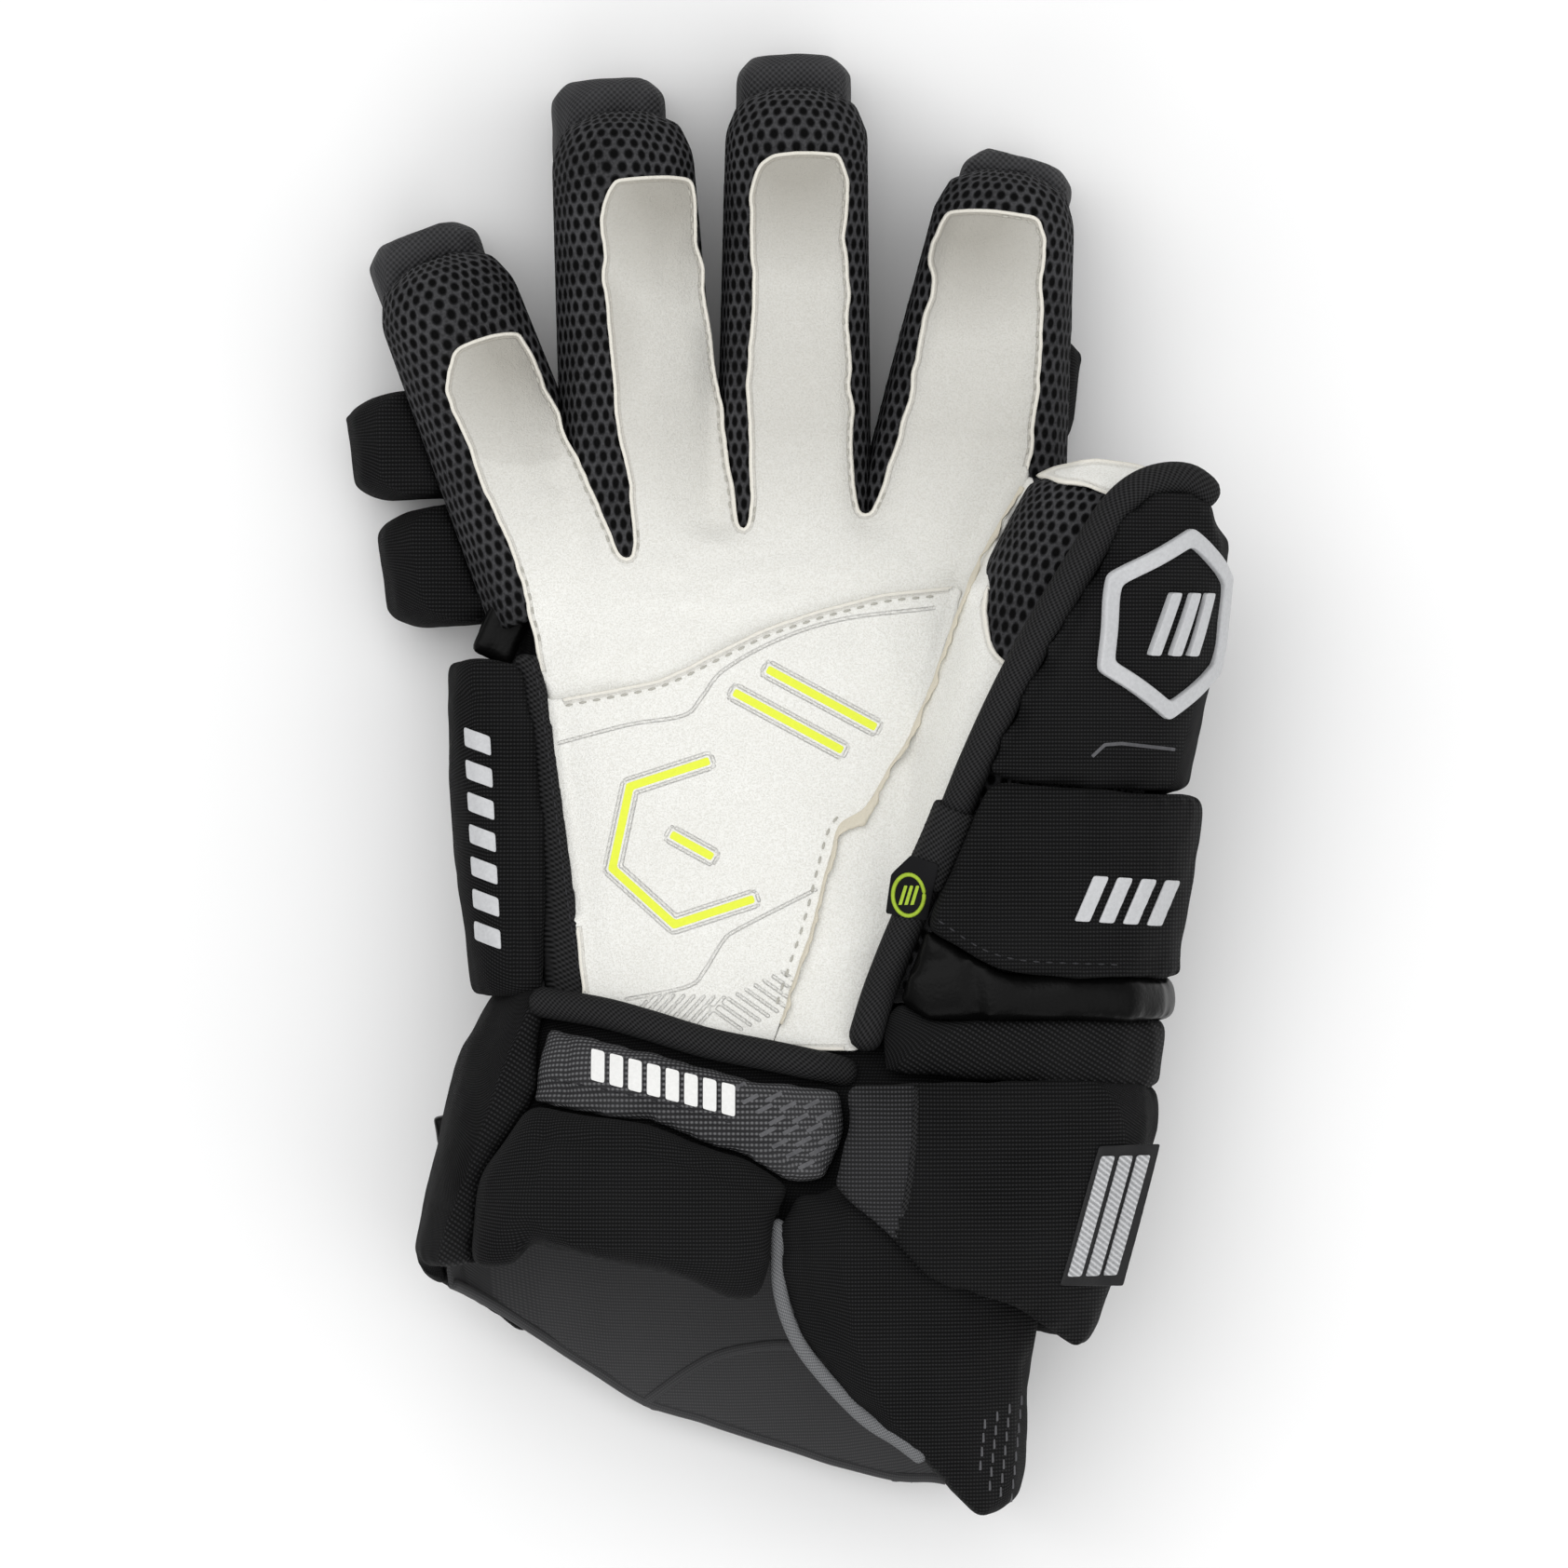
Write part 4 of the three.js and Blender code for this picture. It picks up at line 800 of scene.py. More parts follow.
liningTrees = [treeOf([cadNodes[n]]) for n in ("cuff_lining", "hand_lining")]
swelling = {"use_pressure": True, "uniform_pressure_force": 4, "mass": 0.3, "quality": 3}
swellSteps = 20
puffed = {}
for nodeName, look in pads.items():
    piece = softCopy(nodeName, nodeName + "_padded", look["voxel"], look["soft"], look.get("grow", 0.35),
        look.get("reach"), look.get("tuck"))
    puffed[nodeName] = (piece, readPoints(piece))
    swell = piece.modifiers.new("swell", "CLOTH")
    for key, value in swelling.items():
        setattr(swell.settings, key, value)
    swell.settings.effector_weights.gravity = 0
    swell.collision_settings.use_collision = False
    swell.point_cache.frame_end = swellSteps
for step in range(1, swellSteps + 1):
    bpy.context.scene.frame_set(step)
for nodeName, (piece, before) in puffed.items():
    look = pads[nodeName]
    activate(piece)
    bpy.ops.object.modifier_apply(modifier="swell")
    moved = readPoints(piece) - before
    far = np.maximum(np.linalg.norm(moved, axis=1), 1e-9)
    writePoints(piece, keepOff(before + moved * np.minimum(1, look["cap"] * mm / far)[:, None], before))
    applyNew(piece, "SMOOTH", factor=0.5, iterations=2)
    applyNew(piece, "SUBSURF", levels=1, render_levels=1)
    was = readPoints(piece)
    crumple(piece, look.get("folds", ((15, 0.6), (6, 0.2))), look.get("creases", ()))
    points = keepOff(readPoints(piece), was)
    points[:, 2] = np.maximum(points[:, 2], 0)  # pressed flat where it lies on the floor
    writePoints(piece, points)
    layFlat(piece)
    finishPiece(piece, [nodeName], finishes[look["finish"]])
    if look.get("second"):
        piece.data.materials.append(finishes[look["second"]["finish"]])
        line = np.array(look["second"]["line"])
        for face in piece.data.polygons:
            x, y = face.center.x / mm - plan["shiftX"], face.center.y / mm - plan["shiftY"]
            face.material_index = int(x < np.interp(-y, -line[:, 1], line[:, 0]))
bpy.context.scene.frame_set(1)
print("stage: pads swollen")

# Small leather pieces: primitives pressed to shape
lumps = {
    "side_gusset_leather": {"at": (-67.8, 36.8, 36), "size": (10, 14.5, 13), "turn": 24},
    "panel_nub_leather": {"at": (-81.2, -83.4, 38), "size": (5, 7, 9), "turn": -12},
}
for name, look in lumps.items():
    bpy.ops.object.select_all(action="DESELECT")
    bpy.ops.mesh.primitive_cube_add(size=1)
    piece = bpy.context.active_object
    piece.name = name
    bpy.ops.object.mode_set(mode="EDIT")
    bpy.ops.mesh.select_all(action="SELECT")
    bpy.ops.transform.resize(value=[v * mm for v in look["size"]], center_override=(0, 0, 0))
    bpy.ops.transform.rotate(value=math.radians(look["turn"]), orient_axis="Z", center_override=(0, 0, 0))
    bpy.ops.transform.translate(value=toFrame(*look["at"]))
    bpy.ops.mesh.subdivide(number_cuts=5)
    bpy.ops.object.mode_set(mode="OBJECT")
    applyNew(piece, "SUBSURF", levels=1, render_levels=1)
    applyNew(piece, "SMOOTH", factor=0.5, iterations=12)
    crumple(piece, ((9, 0.8), (4, 0.2)), ())
    piece.data.polygons.foreach_set("use_smooth", [True] * len(piece.data.polygons))
    finishPiece(piece, finish=finishes["leather"])


def lineOn(line, tree, lift=0.0):  # a plan line laid on what carries it, and evened out
    tops = [topOf(tree, x, y) for x, y in line]
    known = [k for k, top in enumerate(tops) if top is not None]
    heights = soften(np.array([[tops[k]] for k in known]), 3, closed=False)
    return np.column_stack([line[known], heights + lift])


line = smoothLine(pads["cuff_roll"]["second"]["line"], 0.9)
tube("gusset_seam", lineOn(line, treeOn("cuff_roll_padded")), 0.9, "tape", sides=8, flatten=0.6)
print("stage: small pieces made")


# Mesh tubes of the fingers and thumb, 3 mm spacer cloth

tubes = {  # the middle of each tube's tip and base, plan mm
    "little": {"tip": (-81, 115.8), "base": (-54, 45.1)},
    "ring": {"tip": (-38.9, 150.8), "base": (-33, 49.6)},
    "middle": {"tip": (3, 156.6), "base": (2.2, 54.1)},
    "index": {"tip": (53, 136.6), "base": (41, 54.1)},
    "thumb": {"tip": (75.5, 65), "base": (52, -40)},
}
for tubeName, look in tubes.items():
    nodeName, voxel = ("thumb_tube", 1.4) if tubeName == "thumb" else ("finger_tube_" + tubeName, 1.3)
    piece = softCopy(nodeName, nodeName + "_mesh", voxel, 8, 0.35)
    points = planPoints(piece)
    base, tip = np.array(look["base"]), np.array(look["tip"])
    along = (tip - base) / np.linalg.norm(tip - base)
    x = (points[:, :2] - base) @ np.array([along[1], -along[0]])
    y = (points[:, :2] - base) @ along
    drop = np.maximum(points[:, 2].max() - points[:, 2], 0)
    around = x + np.sign(x) * drop * np.clip(np.abs(x) / 8, 0, 1)
    setRun(piece, "run", around, y + np.clip((y - 0.8 * y.max()) / 20, 0, 1) * drop)
    finishPiece(piece, [nodeName], finishes["airMesh"])
print("stage: mesh tubes made")


# Linings of hand and cuff: grey cloth inside, the black shell cloth on the outside

linings = {  # middle is the hollow's, at x and z, and tuck draws in the corner right of an x and below a y
    "hand_lining": {"voxel": 1.4, "soft": 8, "middle": (-5, 34), "restsOn": ["back_roll_2"]},
    "cuff_lining": {"voxel": 1.15, "soft": 6, "middle": (-12, 50), "restsOn": ["cuff_back_pad"],
        "tuck": (28, -160, 5.0)},
}
for nodeName, look in linings.items():
    piece = softCopy(nodeName, nodeName + "_cloth", look["voxel"], look["soft"])
    points = readPoints(piece) / mm
    if look.get("tuck"):  # its corner drawn in under the flap
        right, low, pull = look["tuck"]
        share = np.clip((points[:, 0] - right) / 16, 0, 1) * np.clip((low - points[:, 1]) / 8, 0, 1)
        points[:, 1] += pull * share
        writePoints(piece, points * mm)
    setRun(piece, "run", points[:, 0] + 0.83 * points[:, 2], points[:, 1] - 0.61 * points[:, 2])
    low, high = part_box(nodeName)
    finishPiece(piece, [nodeName], finishes["lining"])
    piece.data.materials.append(finishes["shell"])
    middle = toFrame(look["middle"][0], 0, look["middle"][1])
    for face in piece.data.polygons:
        out = Vector((face.center.x - middle.x, 0, face.center.z - middle.z))
        face.material_index = 1 if out.normalized().dot(face.normal) > 0.35 else 0

# The lining's turned edge at the mouth of the cuff, and the fold of the seam across it
mouth = {"x": (-80, 42, 2.0), "y": (-182, -90, 0.4), "in": 1.0, "sunk": 0.9, "radius": 1.35}
tree = treeOn("cuff_lining_cloth")
rim = []
for x in np.arange(*mouth["x"]):
    low = next((y for y in np.arange(*mouth["y"]) if topOf(tree, x, y) is not None), None)
    if low is not None:
        rim.append((x, low + mouth["in"], topOf(tree, x, low + 0.8) or 20))
rim = soften(np.array(rim), 1.5, closed=False)
rim[:, 2] -= mouth["sunk"]
tube("mouth_edge", resample(rim, 1.0, closed=False), mouth["radius"], "lining", sides=10)
fold = smoothLine([(-34.6, -150.5), (-22.8, -142), (-14.5, -138), (-3.4, -136), (3, -136)], 0.8)
tube("lining_fold", lineOn(fold, tree, -0.1), 1.3, "lining", sides=10, flatten=0.55)
print("stage: linings made")


# Suede of the palm and thumb

underTubes = treeOf([cadNodes[n] for n in cadNodes if n.startswith("finger_tube") or n == "thumb_tube"])


ripples = {"pitch": 0.8, "long": 6.5, "short": 2.6, "share": 0.4, "height": 1.6}  # how sewing draws an edge, mm


def waver(outline, look):  # the cut rounded at its corners, with the slight ripple that sewing leaves
    fine = soften(resample(outline, ripples["pitch"]), look.get("round", 2.0))
    run = np.arange(len(fine)) * ripples["pitch"]
    ripple = [noise.noise((s / ripples["long"], look["seed"], 0)) +
        ripples["share"] * noise.noise((s / ripples["short"], 7.0, 0)) for s in run]
    steep = np.abs(normalsOf(fine)[:, 0])  # the tips are cut straight across
    return fine + normalsOf(fine) * (look["wave"] * steep * np.array(ripple))[:, None] * ripples["height"]


def suedePiece(nodeName, look):  # a cut laid over its own solid, and over the mesh tubes past its edge
    rim = waver(look["outline"], look)
    low, high = rim.min(0) - 3, rim.max(0) + 3
    sources = [(treeOf([cadNodes[nodeName]]), 0), (underTubes, 1.8)]
    heightAt = heightField(sources, (low[0], low[1], high[0], high[1]), 1.0, look.get("reach", 2.2))
    piece, flat = layOut(nodeName + "_suede", rim, heightAt, look)
    return {"piece": piece, "flat": flat, "rim": rim}


def closeSheet(piece, nodeName, look):  # the laid cut given its thickness and its finish
    applyNew(piece, "SOLIDIFY", thickness=look["thick"] * mm, offset=-1)
    finishPiece(piece, [nodeName], finishes[look["finish"]])


def hexagonAt(radius, turn=90, centre=(0, 0)):  # turn is its first corner's angle in degrees
    angles = np.radians(turn + 60 * np.arange(6))
    return np.array(centre) + radius * np.column_stack([np.cos(angles), np.sin(angles)])


def shiftedX(line, step):
    return [(x + step, y) for x, y in line]


hemRows = (0.35, 0.7, 1.1, 1.6)
suedes = {  # bare edges go under something and have no hem, folds are (across, along, room, height, seed)
    "palm": {"outline": sum(strips.values(), []) + edges["thumbWeb"] + edges["heel"] + edges["tape"],
        "pitch": 1.15, "rows": hemRows, "thick": 1.2, "wave": 0.26, "seed": 1.0, "round": 1.1,
        "bare": [edges["thumbWeb"], edges["heel"], edges["tape"]], "flat": (190, 240),
        "restsOn": ["finger_tube_middle"], "finish": "suede",
        "folds": ((14, 5, 6, 0.5, 3.1), (40, 18, 9, 0.9, 5.2), (5, 9, 4, 0.16, 8.0))},
    "palm_patch": {"outline": edges["patchTop"] + shiftedX(edges["thumbWeb"][3:], -0.6) + edges["heel"] +
        edges["tape"],
        "bare": [edges["thumbWeb"], edges["heel"], edges["tape"]], "bead": 0.55, "pitch": 0.62, "rows": hemRows,
        "thick": 0.8, "wave": 0.25, "seed": 4.0, "flat": (115, 125), "restsOn": ["palm"], "finish": "suedePatch",
        "folds": ((30, 22, 6, 0.5, 2.2), (9, 14, 6, 0.25, 6.1))},
    "thumb_leather": {"outline": shiftedX(edges["thumbWeb"], -0.3)[::-1] + [(58.4, 74.5)] + edges["window"] +
        edges["thumbRoll"][4::-1],
        "bare": [edges["thumbWeb"], edges["thumbRoll"]], "pitch": 1.1, "rows": hemRows, "thick": 1.2, "wave": 0.2,
        "seed": 6.0, "flat": (45, 140), "restsOn": ["thumb_tube"], "finish": "suede",
        "folds": ((16, 9, 5, 1.0, 4.4),)},
    "thumb_tip_leather": {"outline": [(59.8, 73.9), (66, 71.6), (70.4, 71.2), (78.6, 67.9), (84, 72.4), (91, 73.8),
        (84, 76.4), (74, 77.6), (65, 76.4)],
        "bare": [], "pitch": 0.9, "rows": (0.5, 1.0), "thick": 1.0, "wave": 0.1, "seed": 9.0, "flat": (34, 12),
        "restsOn": ["thumb_tube"], "finish": "suede", "reach": 1.2, "round": 1.0},
}
laid = {nodeName: suedePiece(nodeName, look) for nodeName, look in suedes.items()}
print("stage: suede laid")


# Lines pressed into the patch round a plain motif: a hexagon left open at one corner, and bars

def bandOutline(line, width):  # a line of straight runs given a width, with mitred corners
    line = np.asarray(line, float)
    ahead = np.diff(line, axis=0)
    ahead /= np.linalg.norm(ahead, axis=1)[:, None]
    side = np.column_stack([-ahead[:, 1], ahead[:, 0]])
    mitre = np.vstack([side[:1], side[:-1] + side[1:], side[-1:]])
    mitre /= np.linalg.norm(mitre, axis=1)[:, None]
    reach = np.r_[1, 1 / np.maximum((mitre[1:-1] * side[1:]).sum(1), 0.4), 1]
    out = mitre * reach[:, None] * width / 2
    return np.vstack([line + out, (line - out)[::-1]])


tipShadeSpan = {"tip": (8, 32), "strip": (42, 85), "share": 0.5}  # mm from a strip's tip, and plan y where the strips grey with painted shade, as the fingers slope down away from the light
motif = {"centre": (-22, -14), "radius": 20, "turn": 18, "line": 1.9}
corners = hexagonAt(motif["radius"], motif["turn"], motif["centre"])[1:]
yellowBands = [
    bandOutline(corners, motif["line"]),
    bandOutline([(-12, 22), (14, 8)], motif["line"]),
    bandOutline([(-4, 27.5), (22, 13.5)], motif["line"]),
    bandOutline([(-27, -12), (-17, -17.5)], motif["line"]),
]
pressed = {
    "lines": [smoothLine(line) for line in (
        [(-54, 9.8), (-37, 14.2), (-24, 16.4), (-19.7, 20.7), (-14.5, 27.2), (-1.5, 34.5), (14.2, 39.5), (36, 42.2)],
        [(-37.7, -51.4), (-23, -48.3), (-19, -44.6), (-14.6, -37.6), (-10.8, -34.6), (7.6, -25.2)],
    )],
    "hatch": {"from": (-37.5, -57), "step": (2.4, -0.1), "run": (6.4, 6.8), "count": 8},
    "hatchRight": {"from": (-17.6, -53.2), "step": (2.15, 1.05), "run": (7.4, -5.2), "count": 9},
}
marks = [resample(line, 0.4, closed=False) for line in pressed["lines"]]
for look in (pressed["hatch"], pressed["hatchRight"]):
    for k in range(look["count"]):
        start = np.array(look["from"]) + k * np.array(look["step"])
        marks.append(resample([start, start + look["run"]], 0.4, closed=False))
for band in yellowBands:
    ring = resample(band, 0.4)
    marks.append(ring + 0.95 * outwardOf(ring, band))
setValues(laid["palm_patch"]["piece"], "groove", nearest(laid["palm_patch"]["flat"], np.vstack(marks))[0])
# painted shade on the finger strips: greyer up the strips and near each tip, as the fingers slope down away from the
# light
paintedTipShade = np.interp(laid["palm"]["flat"][:, 1], tipShadeSpan["strip"], (0, tipShadeSpan["share"]))
for strip in strips.values():
    tip = np.array(max(strip, key=lambda p: p[1]))
    gap = np.linalg.norm(laid["palm"]["flat"] - tip, axis=1)
    paintedTipShade = np.maximum(paintedTipShade, np.interp(gap, tipShadeSpan["tip"], (1,
        tipShadeSpan["share"])) * (gap < tipShadeSpan["tip"][1]))
setValues(laid["palm"]["piece"], "paintedTipShade", paintedTipShade)
for nodeName, look in suedes.items():
    closeSheet(laid[nodeName]["piece"], nodeName, look)
print("stage: suede closed")


# Prints and small plates laid on what carries them

sunk = 0.3  # mm that a print or plate goes into what carries it
flatPlane = {"origin": toFrame(0, 0, 120), "side": Vector((1, 0, 0)), "upward": Vector((0, 1, 0)),
    "facing": Vector((0, 0, 1))}


def depthsOn(tree, flat, plane, reach):  # how far each flat point stands off the plane, evened out
    depths = []
    for x, y in flat.tolist():
        start = plane["origin"] + (x * plane["side"] + y * plane["upward"] + 60 * plane["facing"]) * mm
        hit = tree.ray_cast(start, -plane["facing"])[0]
        depths.append(math.nan if hit is None else (hit - plane["origin"]).dot(plane["facing"]))
    depths, known = np.array(depths), ~np.isnan(depths)
    level = np.median(depths[known])
    known &= np.abs(depths - level) < 9 * mm
    gaps = ((flat[:, None] - flat[known][None]) ** 2).sum(2)
    shares = np.exp(-0.5 * gaps / reach ** 2) + 1e-12 / (1 + gaps)
    return (shares * depths[known]).sum(1) / shares.sum(1)


def layOn(name, outlines, tree, look, plane=flatPlane):
    points, faces = [], []
    hole = soften(resample(look["hole"], look["rim"]), look["round"]) if look.get("hole") is not None else None
    for outline in outlines:
        rim = soften(resample(outline, look.get("rim", 0.5)), look.get("round", 0.7))
        low, high = rim.min(0), rim.max(0)
        step = look.get("pitch", 0.9)
        grid = [(x, y) for y in np.arange(low[1], high[1], step) for x in np.arange(low[0], high[0], step)]
        grid = np.array(grid).reshape(-1, 2)
        grid = grid[insideOf(grid, rim)]
        if len(grid):
            grid = grid[rimDistance(grid, rim)[0] > 0.5 * step]
        flat = np.vstack([rim, grid]) if len(grid) else rim
        count = len(rim)
        joints = [(k, (k + 1) % count) for k in range(count)]
        if hole is not None:
            onRim = np.arange(len(flat)) < count
            flat = flat[onRim | (~insideOf(flat, hole) & (rimDistance(flat, hole)[0] > 0.5 * step))]
            joints += [(len(flat) + k, len(flat) + (k + 1) % len(hole)) for k in range(len(hole))]
            flat = np.vstack([flat, hole])
        made = delaunay_2d_cdt([Vector(p) for p in flat], joints, [list(range(count))], 1, 1e-5)
        flat = np.array([tuple(p) for p in made[0]])
        wider = 1.3 * (rim - rim.mean(0)) + rim.mean(0)
        if look.get("whole") and any(topOf(tree, x, y) is None for x, y in wider):
            continue
        depths = depthsOn(tree, flat, plane, look.get("even", 0.8)) + look.get("lift", 0.0) * mm
        start = len(points)
        for (x, y), depth in zip(flat.tolist(), depths.tolist()):
            spot = plane["origin"] + (x * plane["side"] + y * plane["upward"]) * mm
            points.append(spot + depth * plane["facing"])
        for f in made[2]:
            if hole is None or not insideOf(flat[f].mean(0)[None], hole)[0]:
                faces.append([start + k for k in facedUp(made[0], f)])
    piece = addPiece(name, points, faces)
    editAll(piece, bpy.ops.mesh.delete_loose)
    whole = look["thick"] + sunk
    applyNew(piece, "SOLIDIFY", thickness=whole * mm, offset=look["thick"] / whole * 2 - 1)
    if look.get("bevel"):
        applyNew(piece, "BEVEL", width=look["bevel"] * mm, segments=2, limit_method="ANGLE")
    activate(piece)
    bpy.ops.object.shade_smooth_by_angle(angle=math.radians(50))
    return finishPiece(piece, finish=finishes[look["finish"]])


def slantBars(start, end, count, width, height, slant):  # upright bars of a row, leaning by slant
    start, end = np.array(start, float), np.array(end, float)
    ahead = (end - start) / np.linalg.norm(end - start)
    up = (np.array([-ahead[1], ahead[0]]) + slant * ahead) * height / 2
    half = ahead * width / 2
    middles = [start + (end - start) * (k + 0.5) / count for k in range(count)]
    return [[m - half - up, m + half - up, m + half + up, m - half + up] for m in middles]


def dashField(look):  # short bands in rows, each with its start, its run and its width
    made = []
    for row in range(look["rows"]):
        for k in range(look["count"]):
            start = np.array(look["start"]) + k * np.array(look["along"]) + row * np.array(look["down"])
            start[0] += look["odd"] * (row % 2)
            if look["keep"](row, *start):
                made.append(bandOutline([start, start + look["run"]], look["width"]))
    return made


dashes = {  # keep leaves out what would run over an edge
    "strap": {"rows": 11, "count": 6, "start": (-13.5, -67.5), "along": (5.6, 0.5), "down": (0.35, -2.75), "odd": 2.6,
        "run": (3.7, 1.9), "width": 1.0, "keep": lambda row, x, y: row < 4 or x > -13.5 + 1.2 * row},
    "flap": {"rows": 8, "count": 4, "start": (47.6, -151.0), "along": (3.0, 1.6), "down": (-0.35, -3.3), "odd": 0,
        "run": (0.1, -2.3), "width": 0.7, "keep": lambda row, x, y: -176 < y and x + 0.6 * (y + 150) > 38},
}
fineRim = {"rim": 0.4, "round": 0.4, "thick": 0.12, "finish": "film"}
prints = {  # bars are start, end, count, width, height and slant
    "yellow_motif": {"on": "palm_patch_suede", "outlines": yellowBands, "thick": 0.12, "finish": "yellow",
        "lift": -0.02},
    "side_bars": {"on": "side_pad_padded", "bars": ((-73.5, 14), (-70.5, -40), 7, 4.6, 6.0, 0.45), "thick": 0.7,
        "finish": "silver", "bevel": 0.25},
    "thumb_bars": {"on": "thumb_roll_padded", "bars": ((70, -27), (93, -28.5), 4, 3.6, 11, 0.35), "thick": 0.6,
        "finish": "silver", "bevel": 0.2},
    "strap_blocks": {"on": "wrist_strap_padded", "bars": ((-46.5, -66.5), (-11, -75.5), 8, 3.3, 7.2, -0.25),
        "thick": 0.25, "finish": "white"},
    "strap_dashes": {"on": "wrist_strap_padded", "whole": True, **fineRim,
        "outlines": dashField(dashes["strap"])},
    "flap_dashes": {"on": "cuff_side_flap_padded", "whole": True, **fineRim,
        "outlines": dashField(dashes["flap"])},
    "shell_line": {"on": "thumb_shell_padded", **fineRim, "thick": 0.15,
        "outlines": [bandOutline([(73, 6.5), (76, 9.3), (80, 9.6), (93, 8.2)], 0.8)]},
}
for name, look in prints.items():
    layOn(name, look["outlines"] if "outlines" in look else slantBars(*look["bars"]), treeOn(look["on"]), look)
print("stage: prints laid")


# Rows of stitches

def rimPart(rim, start, end):  # the run of a closed rim from near one point to near another
    a = int(np.argmin(np.linalg.norm(rim - start, axis=1)))
    b = int(np.argmin(np.linalg.norm(rim - end, axis=1)))
    return rim[a:b + 1] if b >= a else np.vstack([rim[a:], rim[:b + 1]])


def inward(rim, line, step):  # a line sewn a step inside the rim
    side = outwardOf(line, rim, len(line) // 2, closed=False)
    return soften(line - step * side, 2.0, closed=False)[2:-2]


palmRim, patchRim = laid["palm"]["rim"], laid["palm_patch"]["rim"]
palmStitches = []
for strip in strips.values():
    tip = max(range(len(strip)), key=lambda k: strip[k][1])
    for start, end in ((strip[min(tip + 1, len(strip) - 1)], strip[-1]), (strip[0], strip[2])):
        palmStitches.append(inward(palmRim, rimPart(palmRim, start, end), 1.3))
stitchRow("palm_stitches", palmStitches, treeOn("palm_suede"), {"pitch": 3.0, "length": 1.9, "radius": 0.3,
    "lift": 0.12, "slot": "suede", "finish": "threadGrey"})
patchStitches = [inward(patchRim, rimPart(patchRim, (-55, 20.3), (38, 47)), 1.9),
    inward(patchRim, rimPart(patchRim, (17, -9), (0, -56)), 2.2)]
stitchRow("patch_stitches", patchStitches, treeOn("palm_patch_suede"), {"pitch": 3.3, "length": 2.1, "radius": 0.36,
    "lift": 0.15, "slot": "suede", "finish": "threadGrey"})
print("stage: stitches laid")


# The raised seam between palm and thumb, a turned edge that ripples

seam = {"pitch": 0.7, "height": 0.95, "thick": 0.45, "ripple": 0.8, "width": 0.62, "flare": (17.5, -8.2),
    "flareSize": 3.0}
web = resample(rimPart(palmRim, (57.2, 71.2), (-1, -57.5)), seam["pitch"], closed=False)
side = outwardOf(web, palmRim, 40, closed=False)
carrier = treeOn("palm_suede", "thumb_leather_suede", "palm_patch_suede")
rows = []
for k, (p, n) in enumerate(zip(web, side)):
    s = k * seam["pitch"]
    wobble = seam["ripple"] * (noise.noise((s / 5.5, 2.0, 5.0)) + 0.7 * noise.noise((s / 2.1, 4.0, 5.0)))
    flare = seam["flareSize"] * math.exp(-((p - np.array(seam["flare"])) ** 2).sum() / 30)
    wobble += flare * (0.7 + noise.noise((s / 2.5, 8.0, 1.0)))
    heights = [topOf(carrier, *(p + n * x)) for x in (-1.3, 0.5)]
    base = max([h for h in heights if h is not None] or [60])
    rows.append((p, n, wobble, base))
bases = soften(np.array([[r[3]] for r in rows]), 2.5, closed=False)[:, 0]
points = []
profile = [(-1.1, -0.3), (-0.7, 0.2), (-0.2, 0.7), (0.2, 1.0), (0.6, 0.9), (0.75, 0.3), (0.65, -0.5)]
for k, (p, n, wobble, _) in enumerate(rows):
    for across, rise in profile:
        share = max(across + 1.1, 0) / 1.6
        spot = p + n * (seam["width"] * across - 0.2 + wobble * share)
        lip = seam["height"] * (1 + 0.5 * noise.noise((k * seam["pitch"] / 3.1, 6.0, 2.0)))
        points.append(toFrame(spot[0], spot[1], bases[k] + rise * lip + 0.25 * wobble * share))
wide = len(profile)  # points across the seam
faces = [(a, a + 1, a + wide + 1, a + wide) for a in range((len(rows) - 1) * wide) if (a + 1) % wide]
piece = addPiece("web_seam", points, faces)
if sum(f.normal.z for f in piece.data.polygons) < 0:
    piece.data.flip_normals()
setRun(piece, "hem", np.repeat(np.arange(len(rows)) * seam["pitch"], wide), np.full(len(points), 0.4))
applyNew(piece, "SOLIDIFY", thickness=seam["thick"] * mm, offset=-1)
applyNew(piece, "SUBSURF", levels=1, render_levels=1)
finishPiece(piece, finish=finishes["suedeSeam"])
print("stage: seam made")


# Rolled bindings

ropes = {  # each roll's radius in mm and its plan line
    "thumb_edge_roll": {"radius": 4.1, "path": edges["thumbRoll"]},
    "wrist_edge_roll": {"radius": 3.7, "path": edges["wristRoll"]},
}
for nodeName, look in ropes.items():
    tree = treeOf([cadNodes[nodeName]])
    line = smoothLine(look["path"], 1.2)
    tops = [topOf(tree, x, y) for x, y in line]
    known = [k for k, t in enumerate(tops) if t is not None]
    heights = np.interp(np.arange(len(line)), known, [tops[k] for k in known]) - look["radius"]
    heights = soften(heights[:, None], 4, closed=False)[:, 0]
    line = np.column_stack([line, heights])
    piece = tube(nodeName + "_tape", line, look["radius"], "tape", [nodeName], sides=16)

piece = softCopy("side_tape", "side_tape_woven", 1.1, 8)
points = readPoints(piece)
points[:, 1] -= 4.5 * mm * np.clip((-34 - points[:, 1] / mm) / 10, 0, 1)
writePoints(piece, points + vertexNormals(piece) * 0.3 * mm)
points = points / mm
setRun(piece, "run", points[:, 1], points[:, 0] - 0.8 * points[:, 2])
finishPiece(piece, ["side_tape"], finishes["tape"])
print("stage: bindings made")


# Badges and label

